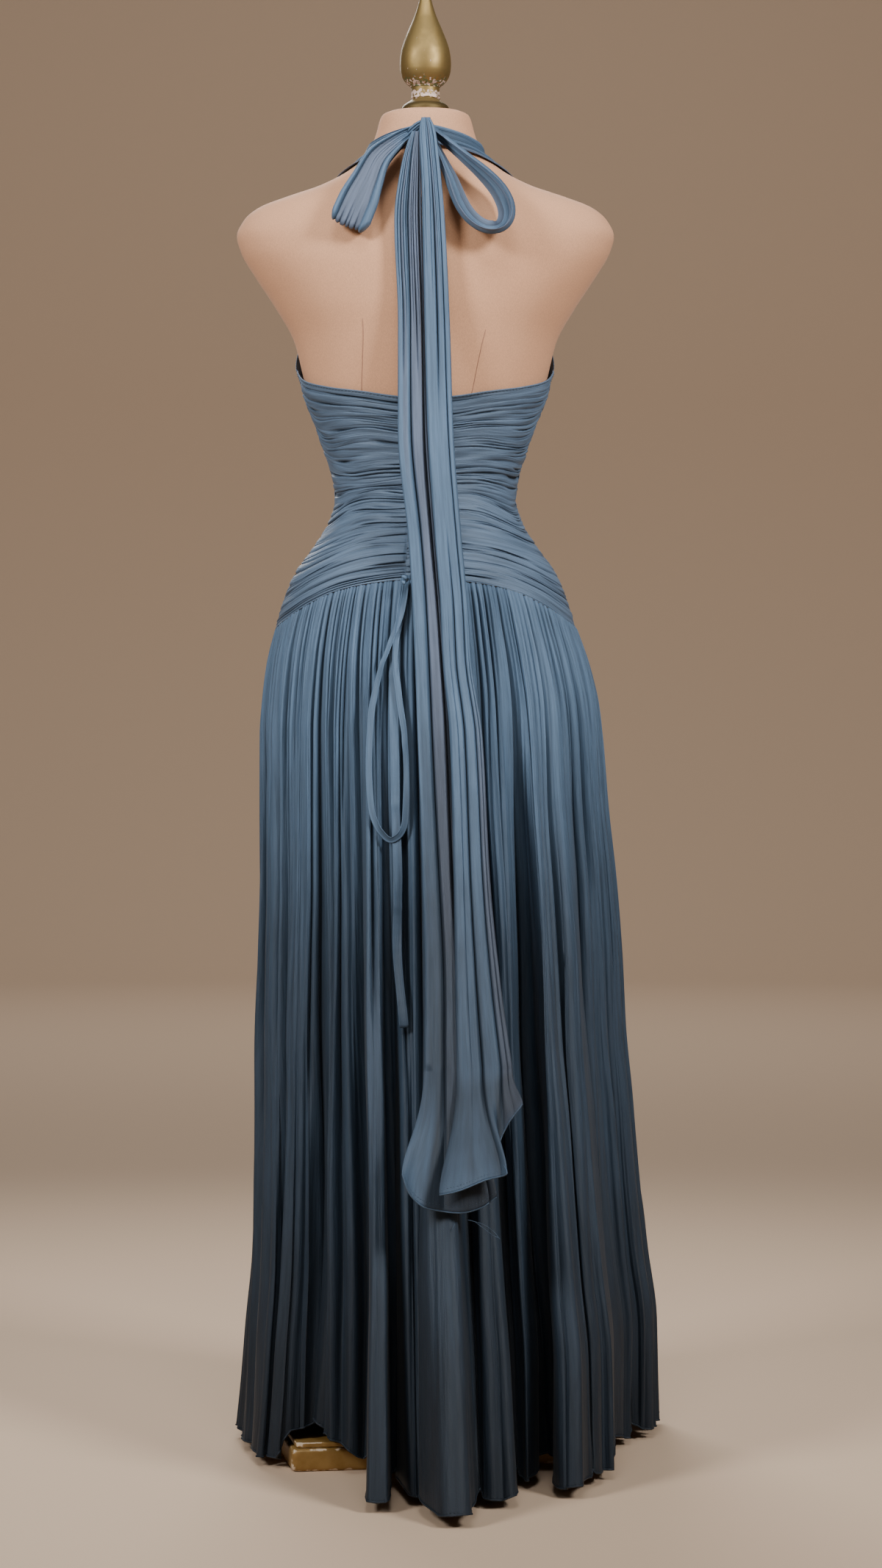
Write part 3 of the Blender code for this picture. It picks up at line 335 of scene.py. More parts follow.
@dataclass(frozen=True)
class Wander:
    """A smooth, irregular wave over two coordinates, about -1 to 1."""

    seed: int  # which of the many waves it is
    across: float  # its typical length across
    along: float  # its typical length along
    period: float = 0.0  # the length across at which it closes on itself, or 0
    waves: int = 7  # how many plain waves it is made of

    def at(self, across: Array, along: Array) -> Array:
        """Read the wave.

        Args:
            across: Places across.
            along: Places along.

        Returns:
            The wave's height at each place.
        """
        rng = np.random.default_rng(self.seed)
        total = 0.0
        for _ in range(self.waves):
            often = rng.uniform(0.5, 1.6) / self.across
            if self.period:
                often = max(1, round(often * self.period)) / self.period
            slope = rng.uniform(-1.4, 1.4) / self.along
            phase = rng.uniform(0.0, 2 * math.pi)
            total = total + np.sin(2 * math.pi * (often * across + slope * along) + phase)
        return total / math.sqrt(self.waves)


@dataclass
class Creases:
    """Creases that run side by side along a cloth."""

    places: Array  # where each lies across the cloth
    widths: Array  # how wide each is
    depths: Array  # how deep each is, as a share
    starts: Array  # where each begins along the cloth
    ends: Array  # where each ends
    skews: Array  # how much wider each is on one side, -1 to 1
    fade: float = 0.1  # the length over which a crease comes and goes
    period: float = 0.0  # the distance across at which the cloth closes on itself, or 0
    round_foot: float = 0.3  # how rounded a crease's bottom is
    spreads: Array | float = 0.0  # how much wider each gets from 0 to 1 along the cloth
    steepness: float = 2.0  # how steep a crease's walls are

    def depth(self, across: Array, along: Array) -> Array:
        """Sum the creases' depths.

        Args:
            across: Places across the cloth.
            along: Places along it.

        Returns:
            The depth at each place, in shares.
        """
        across, along = np.broadcast_arrays(across, along)
        total = np.zeros(across.shape)
        soft = self.round_foot
        spreads = np.broadcast_to(self.spreads, self.places.shape)
        for place, width, depth, start, end, skew, spread in zip(
            self.places, self.widths, self.depths, self.starts, self.ends, self.skews, spreads
        ):
            side = across - place
            if self.period:
                side = (side + self.period / 2) % self.period - self.period / 2
            opened = 1 + spread * np.clip(along, 0.0, 1.0)
            reach = side / (width * (1 + skew * np.sign(side)) * opened)
            near = np.abs(reach) < 2.4
            if not near.any():
                continue
            run = ease((along[near] - start) / self.fade) * ease((end - along[near]) / self.fade)
            slope = 1 - (np.sqrt(reach[near] ** 2 + soft**2) - soft) / 2.4
            cusp = slope**self.steepness
            total[near] += depth * run * cusp
        return total


def scatter(rng: Random, first: float, last: float, count: int, uneven: float) -> Array:
    """Spread places unevenly.

    Args:
        rng: Where the random numbers come from.
        first: The lowest place.
        last: The highest place.
        count: How many.
        uneven: How unevenly, from 0 to 1.

    Returns:
        The places, in rising order.
    """
    steps = 1 + uneven * rng.uniform(-1, 1, count)
    places = np.cumsum(steps) - steps / 2
    return first + (last - first) * places / steps.sum()


def lines_through(places: Array, first: float, last: float, each: int) -> Array:
    """Place mesh lines on every crease and between them, closer together near a crease.

    Args:
        places: The creases' places.
        first: Where the lines begin.
        last: Where they end.
        each: How many lines from one crease to the next.

    Returns:
        The lines' places.
    """
    least = (last - first) / (8 * max(len(places), 1))
    inside = [first]
    for place in np.sort(places):
        if inside[-1] + least < place < last - least:
            inside.append(place)
    knots = np.array([*inside, last])
    parts = (1 - np.cos(np.pi * np.arange(each) / each)) / 2
    return np.append((knots[:-1, None] + np.diff(knots)[:, None] * parts).ravel(), last)


# ---- Meshes ----


def grid_faces(rows: int, columns: int, closed: bool = False) -> Array:
    """List the faces of a grid of points [row][column].

    Args:
        rows: How many rows.
        columns: How many columns.
        closed: Whether the last column joins the first.

    Returns:
        Four point numbers for each face.
    """
    row, column = np.meshgrid(
        np.arange(rows - 1), np.arange(columns if closed else columns - 1), indexing="ij"
    )
    after = (column + 1) % columns
    corners = [row * columns + column, row * columns + after]
    corners += [(row + 1) * columns + after, (row + 1) * columns + column]
    return np.stack([corner.ravel() for corner in corners], -1)


def capped_faces(rows: int, columns: int) -> list:
    """List the faces of a grid that closes on itself, with a face over each end.

    Args:
        rows: How many rows.
        columns: How many columns.

    Returns:
        The point numbers of each face.
    """
    last = (rows - 1) * columns
    ends = [tuple(range(columns))[::-1], tuple(range(last, last + columns))]
    return grid_faces(rows, columns, closed=True).tolist() + ends


def turned_grid(radius: Array, z: Array, sides: int) -> Array:
    """Turn an outline once round the axis.

    Args:
        radius: Its radius at each height.
        z: The heights.
        sides: How many points round it.

    Returns:
        Points [row][column].
    """
    turns = np.linspace(0.0, 2 * math.pi, sides, endpoint=False)
    level = radius[:, None, None] * np.stack([np.cos(turns), np.sin(turns)], -1)
    return np.concatenate([level, np.broadcast_to(z[:, None, None], (len(z), sides, 1))], -1)


def spun(flat: Array, degrees: float) -> Array:
    """Turn level places round the axis."""
    cos, sin = math.cos(math.radians(degrees)), math.sin(math.radians(degrees))
    return flat @ np.array([[cos, sin], [-sin, cos]])


def make_piece(
    name: str, points: Array, faces: list, material: Material, cloth: Array | None = None,
    under: Array | None = None, deep: Array | None = None,
) -> Piece:
    """Make an object from points and faces.

    Args:
        name: The piece's name.
        points: Its points.
        faces: Its faces, as point numbers.
        material: Its finish.
        cloth: Each point's place on the flat cloth, in metres, for the weave.
        under: How much each point shows the cloth's greyer side, 0 to 1.
        deep: How much painted shade each point gets, 0 to 1, mostly where it lies in a crease.

    Returns:
        The new object.
    """
    mesh = bpy.data.meshes.new(name)
    flat = np.asarray(points, float).reshape(-1, 3)
    mesh.from_pydata(flat.tolist(), [], [tuple(int(corner) for corner in face) for face in faces])
    if cloth is not None:
        layer = mesh.uv_layers.new(name="cloth")
        numbers = np.zeros(len(mesh.loops), np.int32)
        mesh.loops.foreach_get("vertex_index", numbers)
        layer.data.foreach_set("uv", cloth.reshape(-1, 2)[numbers].astype(np.float32).ravel())
    for label, values in (("under", under), ("deep", deep)):
        if values is not None:
            shade = mesh.attributes.new(label, "FLOAT", "POINT")
            shade.data.foreach_set("value", np.clip(values, 0, 1).astype(np.float32).ravel())
    mesh.materials.append(material)
    mesh.shade_smooth()
    piece = bpy.data.objects.new(name, mesh)
    bpy.context.scene.collection.objects.link(piece)
    return piece


def cloth_map(grid: Array, turned: bool = False) -> Array:
    """Measure each point's place on the flat cloth, from its steps along rows and columns.

    Args:
        grid: Points [row][column].
        turned: Whether the cloth's crinkle runs along the rows, not down the columns.

    Returns:
        Two lengths for each point, across and down.
    """
    across = np.linalg.norm(np.diff(grid, axis=1), axis=-1)
    down = np.linalg.norm(np.diff(grid, axis=0), axis=-1)
    width = np.pad(np.cumsum(across, axis=1), ((0, 0), (1, 0)))
    length = np.pad(np.cumsum(down, axis=0), ((1, 0), (0, 0)))
    wide = np.broadcast_to(width.mean(axis=0), width.shape)
    if turned:
        length = np.broadcast_to(length.mean(axis=1, keepdims=True), wide.shape)
        return np.stack([length, wide], -1)
    return np.stack([wide, length], -1)


def sheet_piece(
    name: str, grid: Array, material: Material, under: Array | None = None, wall: float = 0.0,
    turned: bool = False, deep: Array | None = None, node: str = "",
) -> Piece:
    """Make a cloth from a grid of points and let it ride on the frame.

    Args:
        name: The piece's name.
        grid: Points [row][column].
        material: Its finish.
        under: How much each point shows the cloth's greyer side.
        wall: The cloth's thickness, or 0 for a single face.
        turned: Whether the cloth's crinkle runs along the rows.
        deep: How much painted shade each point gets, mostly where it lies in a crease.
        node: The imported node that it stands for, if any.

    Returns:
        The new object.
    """
    faces = grid_faces(*grid.shape[:2])
    piece = make_piece(name, grid, faces, material, cloth_map(grid, turned), under, deep)
    if wall:
        body = piece.modifiers.new("wall", "SOLIDIFY")
        body.thickness, body.offset = wall, 0.0
    return settle(piece, Slot.CHIFFON, *node.split())


def tube_mesh(path: Array, radius: Array, sides: int, up: Array) -> tuple[Array, Array]:
    """Make a thin closed tube along a path.

    Args:
        path: The points of its middle line.
        radius: Its radius, one number or one for each point.
        sides: How many sides.
        up: A direction, or one for each point, that the path never runs along.

    Returns:
        Its points and its faces, the ends drawn to a point.
    """
    step = unit(np.gradient(path, axis=0))
    side = unit(np.cross(step, up))
    top = np.cross(side, step)
    turns = np.linspace(0.0, 2 * math.pi, sides, endpoint=False)[:, None]
    size = np.broadcast_to(radius, path.shape[:1]).copy()
    size[[0, -1]] *= 0.05
    around = np.cos(turns) * side[:, None] + np.sin(turns) * top[:, None]
    points = path[:, None] + around * size[:, None, None]
    return points.reshape(-1, 3), grid_faces(len(path), sides, closed=True)


def joined(parts: list[tuple[Array, Array]]) -> tuple[Array, Array]:
    """Join several meshes' points and faces into one.

    Args:
        parts: The points and faces of each.

    Returns:
        All points and all faces.
    """
    starts = np.cumsum([0] + [len(points) for points, _ in parts[:-1]])
    points = np.concatenate([points for points, _ in parts])
    return points, np.concatenate([faces + start for (_, faces), start in zip(parts, starts)])


def stitches(
    line: Array, up: Array, pitch: float, length: float, radius: float
) -> tuple[Array, Array]:
    """Sew a row of small stitches along a line.

    Args:
        line: The line's points.
        up: A direction that the line never runs along.
        pitch: From one stitch to the next.
        length: Of one stitch.
        radius: Of the thread.

    Returns:
        The points and faces of all the stitches.
    """
    steps = np.linalg.norm(np.diff(line, axis=0), axis=1)
    run = np.concatenate([[0.0], np.cumsum(steps)])
    starts = np.arange(pitch / 2, run[-1] - length, pitch)
    parts = []
    for start in starts:
        places = start + length * np.linspace(0.0, 1.0, 4)
        path = np.stack([np.interp(places, run, line[:, axis]) for axis in range(3)], -1)
        parts.append(tube_mesh(path, radius, 4, up))
    return joined(parts)


# ---- Finishes ----


class Slot(Enum):
    """The record's material slots."""

    CHIFFON = "chiffon"
    COVER = "form_cover"
    GILT = "gilt_wood"
    PAINT = "base_paint"
    POLE = "pole_wood"


class Wiring:
    """Adds nodes to one shader tree and joins them."""

    def __init__(self, tree: Tree) -> None:
        """Keep the tree."""
        self.tree = tree

    def feed(self, node: Node, inputs: dict) -> None:
        """Fill a node's inputs.

        Args:
            node: The node.
            inputs: A value or an output for each input, by name or number. A colour has no alpha.
        """
        for name, value in inputs.items():
            socket = node.inputs[name]
            if isinstance(value, Socket):
                self.tree.links.new(value, socket)
            else:
                socket.default_value = (*value, 1.0) if socket.type == "RGBA" else value

    def node(self, kind: str, inputs: dict | None = None, **settings: object) -> Node:
        """Add a node.

        Args:
            kind: The shader node's type.
            inputs: What each input is fed.
            settings: The node's own settings.

        Returns:
            The node.
        """
        node = self.tree.nodes.new("ShaderNode" + kind)
        for name, value in settings.items():
            setattr(node, name, value)
        self.feed(node, inputs or {})
        return node

    def place(self) -> Socket:
        """Return the place on the piece."""
        return self.node("TexCoord").outputs["Object"]

    def height(self, place: Socket) -> Socket:
        """Return how high a place is."""
        return self.node("SeparateXYZ", {0: place}).outputs["Z"]

    def mask(self, name: str) -> Socket:
        """Read a value that the mesh carries."""
        return self.node("Attribute", attribute_name=name).outputs["Fac"]

    def times(self, first: object, second: object, *plus: object) -> Socket:
        """Multiply two numbers, and add a third where there is one."""
        kind = "MULTIPLY_ADD" if plus else "MULTIPLY"
        return self.node("Math", dict(enumerate((first, second, *plus))), operation=kind).outputs[0]

    def mix(self, share: object, first: object, second: object) -> Socket:
        """Mix two colours."""
        return self.node("Mix", {0: share, 6: first, 7: second}, data_type="RGBA").outputs[2]

    def brighten(self, colour: Socket, value: object) -> Socket:
        """Multiply a colour's brightness."""
        return self.node("HueSaturation", {"Value": value, "Color": colour}).outputs[0]

    def step(self, value: object, low: float, high: float) -> Socket:
        """Turn a number into a mask that rises from 0 at low to 1 at high."""
        inputs = {"Value": value, "From Min": low, "From Max": high}
        return self.node("MapRange", inputs, interpolation_type="SMOOTHSTEP").outputs[0]

    def noise(self, place: object, scale: object, detail: float) -> Socket:
        """Read a soft noise."""
        inputs = {"Vector": place, "Scale": scale, "Detail": detail}
        return self.node("TexNoise", inputs).outputs["Fac"]

    def stretch(self, place: object, sizes: tuple[float, float, float]) -> Socket:
        """Stretch a place by a size on each axis."""
        return self.node("VectorMath", {0: place, 1: sizes}, operation="MULTIPLY").outputs[0]

    def effect(self, name: str, **inputs: object) -> object:
        """Place a shared effect and return its outputs."""
        return self.node("Group", inputs, node_tree=bpy.data.node_groups[name]).outputs


class Effects:
    """The surface effects that several finishes share, each a node group built once."""

    def __init__(self) -> None:
        """Build every group."""
        for build in (self._crinkle, self._weave, self._mottle, self._wear):
            build()

    @staticmethod
    def _group(name: str, inputs: dict[str, float | None], *outputs: str) -> tuple:
        """Start a group.

        Args:
            name: The group's name.
            inputs: The first value of each number that goes in, or None for a place.
            outputs: The names of the numbers that come out.

        Returns:
            The group's wiring, what goes into it, and its output node.
        """
        tree = bpy.data.node_groups.new(name, "ShaderNodeTree")
        for label, value in inputs.items():
            kind = "NodeSocketVector" if value is None else "NodeSocketFloat"
            socket = tree.interface.new_socket(label, in_out="INPUT", socket_type=kind)
            if value is not None:
                socket.default_value = value
        for label in outputs:
            tree.interface.new_socket(label, in_out="OUTPUT", socket_type="NodeSocketFloat")
        ends = [tree.nodes.new(kind) for kind in ("NodeGroupInput", "NodeGroupOutput")]
        return Wiring(tree), ends[0].outputs, ends[1]

    def _crinkle(self) -> None:
        """Build the fine lengthwise crinkle of crepe chiffon, with its thread grain and its painted
        light and shade.
        """
        wiring, given, result = self._group(
            "crinkle", {"Cloth": None, "Fineness": 1.0}, "Height", "Shade"
        )
        scaled = {0: given["Cloth"], 3: given["Fineness"]}
        place = wiring.node("VectorMath", scaled, operation="SCALE").outputs[0]
        lines, broad, threads = (
            wiring.noise(wiring.stretch(place, (across, along, 1.0)), 1.0, detail)
            for across, along, detail in ((620.0, 26.0, 2), (170.0, 9.0, 2), (1500.0, 420.0, 1))
        )
        height = wiring.times(threads, 0.15, wiring.times(lines, 0.5, wiring.times(broad, 0.35)))
        # painted light and shade along the crinkle's lines
        shade = wiring.times(broad, 0.6, wiring.times(lines, 0.4))
        wiring.feed(result, {"Height": height, "Shade": wiring.step(shade, 0.32, 0.68)})

    def _weave(self) -> None:
        """Build a fine crossing weave."""
        wiring, given, result = self._group("weave", {"Place": None, "Threads": 900.0}, "Height")
        place, threads = given["Place"], given["Threads"]
        nap = wiring.noise(place, threads, 2.0)
        ribs = wiring.noise(wiring.stretch(place, (1.0, 1.0, 0.25)), threads, 1.0)
        wiring.feed(result, {"Height": wiring.times(ribs, 0.5, wiring.times(nap, 0.5))})

    def _mottle(self) -> None:
        """Build slow, soft patches of a second tone."""
        wiring, given, result = self._group("mottle", {"Place": None, "Scale": 6.0}, "Patches")
        slow = wiring.noise(given["Place"], given["Scale"], 4.0)
        wiring.feed(result, {"Patches": wiring.step(slow, 0.36, 0.64)})

    def _wear(self) -> None:
        """Build chipped wear, where a mask and a rough noise together pass a limit."""
        wiring, given, result = self._group(
            "wear", {"Place": None, "Scale": 200.0, "Edge": 0.0, "Amount": 0.5}, "Chips"
        )
        rough = wiring.noise(given["Place"], given["Scale"], 5.0)
        total = wiring.times(given["Edge"], given["Amount"], rough)
        wiring.feed(result, {"Chips": wiring.step(total, 0.70, 0.78)})


@dataclass(frozen=True)
class Finish:
    """What every finish has: a name, its colours, and how it takes the light."""

    name: str  # the material's name
    colour: Colour  # its main colour, linear
    second: Colour  # its second colour, linear
    roughness: float
    metallic: float = 0.0
    bump: float = 0.0002  # how deep its relief is, in metres

    def build(self) -> Material:
        """Make the material.

        Returns:
            The material.
        """
        material = bpy.data.materials.new(self.name)
        material.use_nodes = True
        material.diffuse_color = (*self.colour, 1.0)
        wiring = Wiring(material.node_tree)
        shader = material.node_tree.nodes["Principled BSDF"]
        wiring.feed(shader, {"Roughness": self.roughness, "Metallic": self.metallic})
        coat = self._coat(wiring)
        relief = {"Height": coat.pop("Height"), "Distance": self.bump, "Strength": 1.0}
        wiring.feed(shader, {**coat, "Normal": wiring.node("Bump", relief).outputs[0]})
        return material

    def _coat(self, wiring: Wiring) -> Coat:
        """Work out what the shader is fed, and the Height of the relief."""
        raise NotImplementedError

    def _tones(self, wiring: Wiring, share: object) -> Socket:
        """Mix the finish's two colours."""
        return wiring.mix(share, self.colour, self.second)

    def _chipped(self, wiring: Wiring, chips: Socket, rough: object) -> Coat:
        """Work out the chips' own look: rougher, without metal, and a little sunk."""
        return {
            "Metallic": wiring.times(chips, -self.metallic, self.metallic),
            "Roughness": wiring.times(chips, 0.35, rough),
            "Height": wiring.times(chips, -1.0),
        }


@dataclass(frozen=True)
class Chiffon(Finish):
    """Crinkled silk chiffon: greyer on its other side, with painted shade in its creases and lower
    down, and painted light and shade along its crinkle.
    """

    # Painted shade: how bright it is at knee height, as a share, standing in for the light falling
    # off downwards and for no pale form shining through.
    knee: float = 0.35
    knee_at: tuple[float, float] = (0.93, 0.50)  # where that change begins and ends
    low: float = 0.40  # painted shade further down: how bright it is there, as a share of that
    low_at: tuple[float, float] = (0.52, 0.0)  # where that change begins and ends
    crease: float = 0.66  # how much of its brightness the painted shade in a crease takes away
    soft_at: tuple[float, float] = (0.36, 0.12)  # where the painted crease shade grows weaker, lower down
    crinkle_shading: float = 0.36  # how strongly light and shade are painted along the crinkle
    fineness: float = 1.0  # how fine the crinkle is
    sheen: float = 0.03  # how much the fibres glow at a glance

    def _coat(self, wiring: Wiring) -> Coat:
        """Paint shade on the cloth by its crinkle, its creases and its height.

        Args:
            wiring: The material's wiring.

        Returns:
            What the shader is fed.
        """
        place = wiring.place()
        height = wiring.height(place)
        cloth = wiring.node("UVMap", uv_map="cloth").outputs["UV"]
        crinkle = wiring.effect("crinkle", Cloth=cloth, Fineness=self.fineness)
        mottle = wiring.effect("mottle", Place=place, Scale=9.0)
        # Painted shade in the creases, weaker lower down
        soft = wiring.times(wiring.step(height, *self.soft_at), -0.55, 1.0)
        value = wiring.times(wiring.times(wiring.mask("deep"), soft), -self.crease, 1.0)
        # painted shade by height, painted light and shade along the crinkle, and the cloth's own
        # uneven tone
        for share in (
            (wiring.step(height, *self.knee_at), self.knee - 1.0, 1.0),
            (wiring.step(height, *self.low_at), self.low - 1.0, 1.0),
            (crinkle["Shade"], self.crinkle_shading, 1.0 - self.crinkle_shading / 2),
            (mottle["Patches"], -0.10, 1.04),
        ):
            value = wiring.times(value, wiring.times(*share))
        return {
            "Base Color": wiring.brighten(self._tones(wiring, wiring.mask("under")), value),
            "Sheen Weight": self.sheen,
            "Sheen Roughness": 0.4,
            "Specular IOR Level": 0.3,
            "Height": crinkle["Height"],
        }


@dataclass(frozen=True)
class Jersey(Finish):
    """The form's fine knitted cover, a little worn and uneven in tone."""

    def _coat(self, wiring: Wiring) -> Coat:
        """Shade the cover by its weave.

        Args:
            wiring: The material's wiring.

        Returns:
            What the shader is fed.
        """
        place = wiring.place()
        weave = wiring.effect("weave", Place=place, Threads=1500.0)["Height"]
        mottle = wiring.effect("mottle", Place=place, Scale=5.0)["Patches"]
        toned = self._tones(wiring, wiring.times(mottle, 0.5))
        flecks = wiring.mix(wiring.step(weave, 0.66, 0.34), toned, wiring.brighten(toned, 0.82))
        return {
            "Base Color": flecks,
            "Sheen Weight": 0.1,
            "Specular IOR Level": 0.25,
            "Height": weave,
        }


@dataclass(frozen=True)
class Gilt(Finish):
    """Antique gold on turned wood, greenish, with pale chips where it is knocked, and painted shade
    at its foot.
    """

    chip: Colour = (0.60, 0.45, 0.40)  # the colour under the gold, linear
    stain: Colour = (0.16, 0.20, 0.10)  # the colour of the green bloom, linear

    @staticmethod
    def _band(wiring: Wiring, z: Socket, *ends: tuple[float, float]) -> Socket:
        """Mask a band by the heights above the finial's foot between which it comes and goes."""
        steps = (wiring.step(z, FINIAL_FOOT + low, FINIAL_FOOT + high) for low, high in ends)
        return wiring.times(*steps)

    def _coat(self, wiring: Wiring) -> Coat:
        """Colour the gold, worn on the collar and under the bulb, with painted shade at its foot.

        Args:
            wiring: The material's wiring.

        Returns:
            What the shader is fed.
        """
        place = wiring.place()
        z = wiring.height(place)
        mottle = wiring.effect("mottle", Place=place, Scale=38.0)["Patches"]
        gold = self._tones(wiring, wiring.times(mottle, 0.6))
        collar = self._band(wiring, z, (0.014, 0.018), (0.029, 0.024))
        under = self._band(wiring, z, (0.028, 0.031), (0.046, 0.032))
        worn = wiring.times(under, 0.8, collar)
        wear = {"name": "wear", "Place": place}
        chips = wiring.effect(**wear, Scale=260.0, Edge=worn, Amount=0.28)["Chips"]
        bloom = wiring.effect(**wear, Scale=330.0, Edge=under, Amount=0.30)["Chips"]
        stained = wiring.mix(bloom, gold, self.stain)
        # Painted shade: the finial's foot is painted much darker
        foot = wiring.step(z, FINIAL_FOOT + 0.012, FINIAL_FOOT + 0.010)
        shaded = wiring.mix(foot, stained, wiring.brighten(stained, 0.45))
        rough = wiring.times(mottle, 0.12, self.roughness)
        look = self._chipped(wiring, chips, rough)
        return {"Base Color": wiring.mix(chips, shaded, self.chip), **look}


@dataclass(frozen=True)
class Paint(Finish):
    """Brown and gold paint on the base, chipped to a cream ground along the edges."""

    ground: Colour = (0.62, 0.50, 0.36)  # the cream ground, linear

    def _coat(self, wiring: Wiring) -> Coat:
        """Shade the paint, worn along the edges.

        Args:
            wiring: The material's wiring.

        Returns:
            What the shader is fed.
        """
        place, edge = wiring.place(), wiring.mask("edge")
        mottle = wiring.effect("mottle", Place=place, Scale=30.0)["Patches"]
        paint = self._tones(wiring, mottle)
        wear = wiring.effect("wear", Place=place, Scale=90.0, Edge=edge, Amount=0.58)
        look = self._chipped(wiring, wear["Chips"], self.roughness)
        return {"Base Color": wiring.mix(wear["Chips"], paint, self.ground), **look}


@dataclass(frozen=True)
class Wood(Finish):
    """Dark stained wood with a long grain."""

    def _coat(self, wiring: Wiring) -> Coat:
        """Shade the wood by its grain.

        Args:
            wiring: The material's wiring.

        Returns:
            What the shader is fed.
        """
        long = wiring.stretch(wiring.place(), (1.0, 1.0, 0.06))
        grain = wiring.effect("mottle", Place=long, Scale=120.0)["Patches"]
        return {"Base Color": self._tones(wiring, grain), "Height": grain}


@dataclass
class Finishes:
    """All the materials of the gown and of its stand."""

    bodice: Material  # the bodice's chiffon
    skirt: Material  # the skirt's chiffon, with painted shade where it hangs free of the form
    strap: Material  # the chiffon of the straps, the bow, its tails and the ribbon
    jersey: Material  # the form's cover
    seam: Material  # the thread of its darts
    gilt: Material  # the finial's gold
    paint: Material  # the base's paint
    wood: Material  # the pole's wood

    @classmethod
    def build(cls) -> "Finishes":
        """Make every material once.

        Returns:
            The materials.
        """
        Effects()
        blue, grey, light = (0.092, 0.138, 0.206), (0.100, 0.130, 0.192), (0.086, 0.145, 0.230)
        bodice = Chiffon(
            "bodice_chiffon", blue, grey, 0.56, bump=0.0014, knee=1.0, low=1.0, crinkle_shading=0.55
        )
        # The skirt: strong painted shade in its creases and lower down
        skirt = Chiffon("skirt_chiffon", light, grey, 0.60, bump=0.0011, crease=0.74, low=0.34)
        # The straps, bow and tails: painted shade lower down, and a painted highlight on the tails'
        # flares near the floor
        strap = Chiffon(
            "strap_chiffon", light, grey, 0.58, bump=0.0007, fineness=1.2,
            knee=0.40, low=1.5, low_at=(0.44, 0.33),
        )
        cover = (0.66, 0.355, 0.205)
        jersey = Jersey("form_jersey", cover, (0.60, 0.31, 0.175), 0.85, bump=0.00012)
        seam = Jersey("form_seam", (0.40, 0.22, 0.15), (0.36, 0.20, 0.13), 0.85, bump=0.0001)
        gilt = Gilt("antique_gilt", (0.30, 0.205, 0.075), (0.17, 0.12, 0.045), 0.46, 0.80)
        paint = Paint("base_gold_paint", (0.24, 0.13, 0.03), (0.33, 0.20, 0.06), 0.45, 0.25)
        wood = Wood("pole_wood", (0.10, 0.055, 0.03), (0.16, 0.09, 0.05), 0.5)
        finishes = (bodice, skirt, strap, jersey, seam, gilt, paint, wood)
        return cls(*(finish.build() for finish in finishes))


def settle(piece: Piece, slot: Slot, *nodes: str) -> Piece:
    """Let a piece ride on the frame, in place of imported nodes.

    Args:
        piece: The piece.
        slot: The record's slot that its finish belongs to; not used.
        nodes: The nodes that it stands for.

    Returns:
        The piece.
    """
    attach(piece, "root")
    if nodes:
        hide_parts(*nodes)
    LOG.info("%s: %d faces", piece.name, len(piece.data.polygons))
    return piece


def sewn_edge(name: str, material: Material, up: Array, rolled: tuple, sewn: tuple) -> Piece:
    """Make a rolled edge with its row of stitches.

    Args:
        name: The piece's name.
        material: Its finish.
        up: A direction that the edge never runs along.
        rolled: The roll's line and its radius.
        sewn: The stitches' line, their pitch, their length and the thread's radius.

    Returns:
        The piece.
    """
    meshes = [tube_mesh(*rolled, 6, up), stitches(sewn[0], up, *sewn[1:])]
    return settle(make_piece(name, *joined(meshes), material), Slot.CHIFFON)


# ---- The form and its stand ----


@dataclass
class DressForm:
    """The padded form with its jersey cover, its darts and its neck cap."""

    finishes: Finishes
    columns: int = 144  # mesh columns round it
    rows: int = 150  # mesh rows up it
    # Each back dart's turn at its upper and its lower end, and its upper height.
    darts: tuple = ((63.6, 57.2, 1.284), (116.7, 112.6, 1.271))
    dart_foot: float = 1.190  # the darts' lower height

    def build(self) -> None:
        """Make the cover and the darts."""
        turns = np.linspace(0.0, 360.0, self.columns, endpoint=False)
        grid = form_point(turns[None, :], FORM.spread(self.rows)[:, None])
        faces = capped_faces(self.rows, self.columns)
        cover = make_piece("form_cover", grid, faces, self.finishes.jersey)
        cover.data.set_sharp_from_angle(angle=math.radians(60))
        settle(cover, Slot.COVER, "form_torso")
        for side, dart in zip(("left", "right"), self.darts):
            self._dart(f"form_dart_{side}", *dart)

    def _dart(self, name: str, top_turn: float, foot_turn: float, top: float) -> None:
        """Sew one dart: a fine raised line.

        Args:
            name: The piece's name.
            top_turn: The turn of its upper end.
            foot_turn: The turn of its lower end.
            top: The height of its upper end.
        """
        part = np.linspace(0.0, 1.0, 40)
        z = top + (self.dart_foot - top) * part
        path = form_point(top_turn + (foot_turn - top_turn) * part, z, 0.0)
        points, faces = tube_mesh(path, 0.00055, 6, np.array([1.0, 0.0, 0.0]))
        settle(make_piece(name, points, faces, self.finishes.seam), Slot.COVER)


@dataclass
class Finial:
    """The turned finial on the neck cap."""

    finishes: Finishes
    columns: int = 72  # mesh columns round it
    rows: int = 110  # mesh rows up it

    def build(self) -> None:
        """Turn the outline once round."""
        z = FINIAL.spread(self.rows)
        grid = turned_grid(FINIAL.at("radius", z), FINIAL_FOOT + z, self.columns)
        faces = capped_faces(self.rows, self.columns)
        piece = make_piece("turned_finial", grid, faces, self.finishes.gilt)
        piece.data.set_sharp_from_angle(angle=math.radians(60))
        settle(piece, Slot.GILT, "finial")


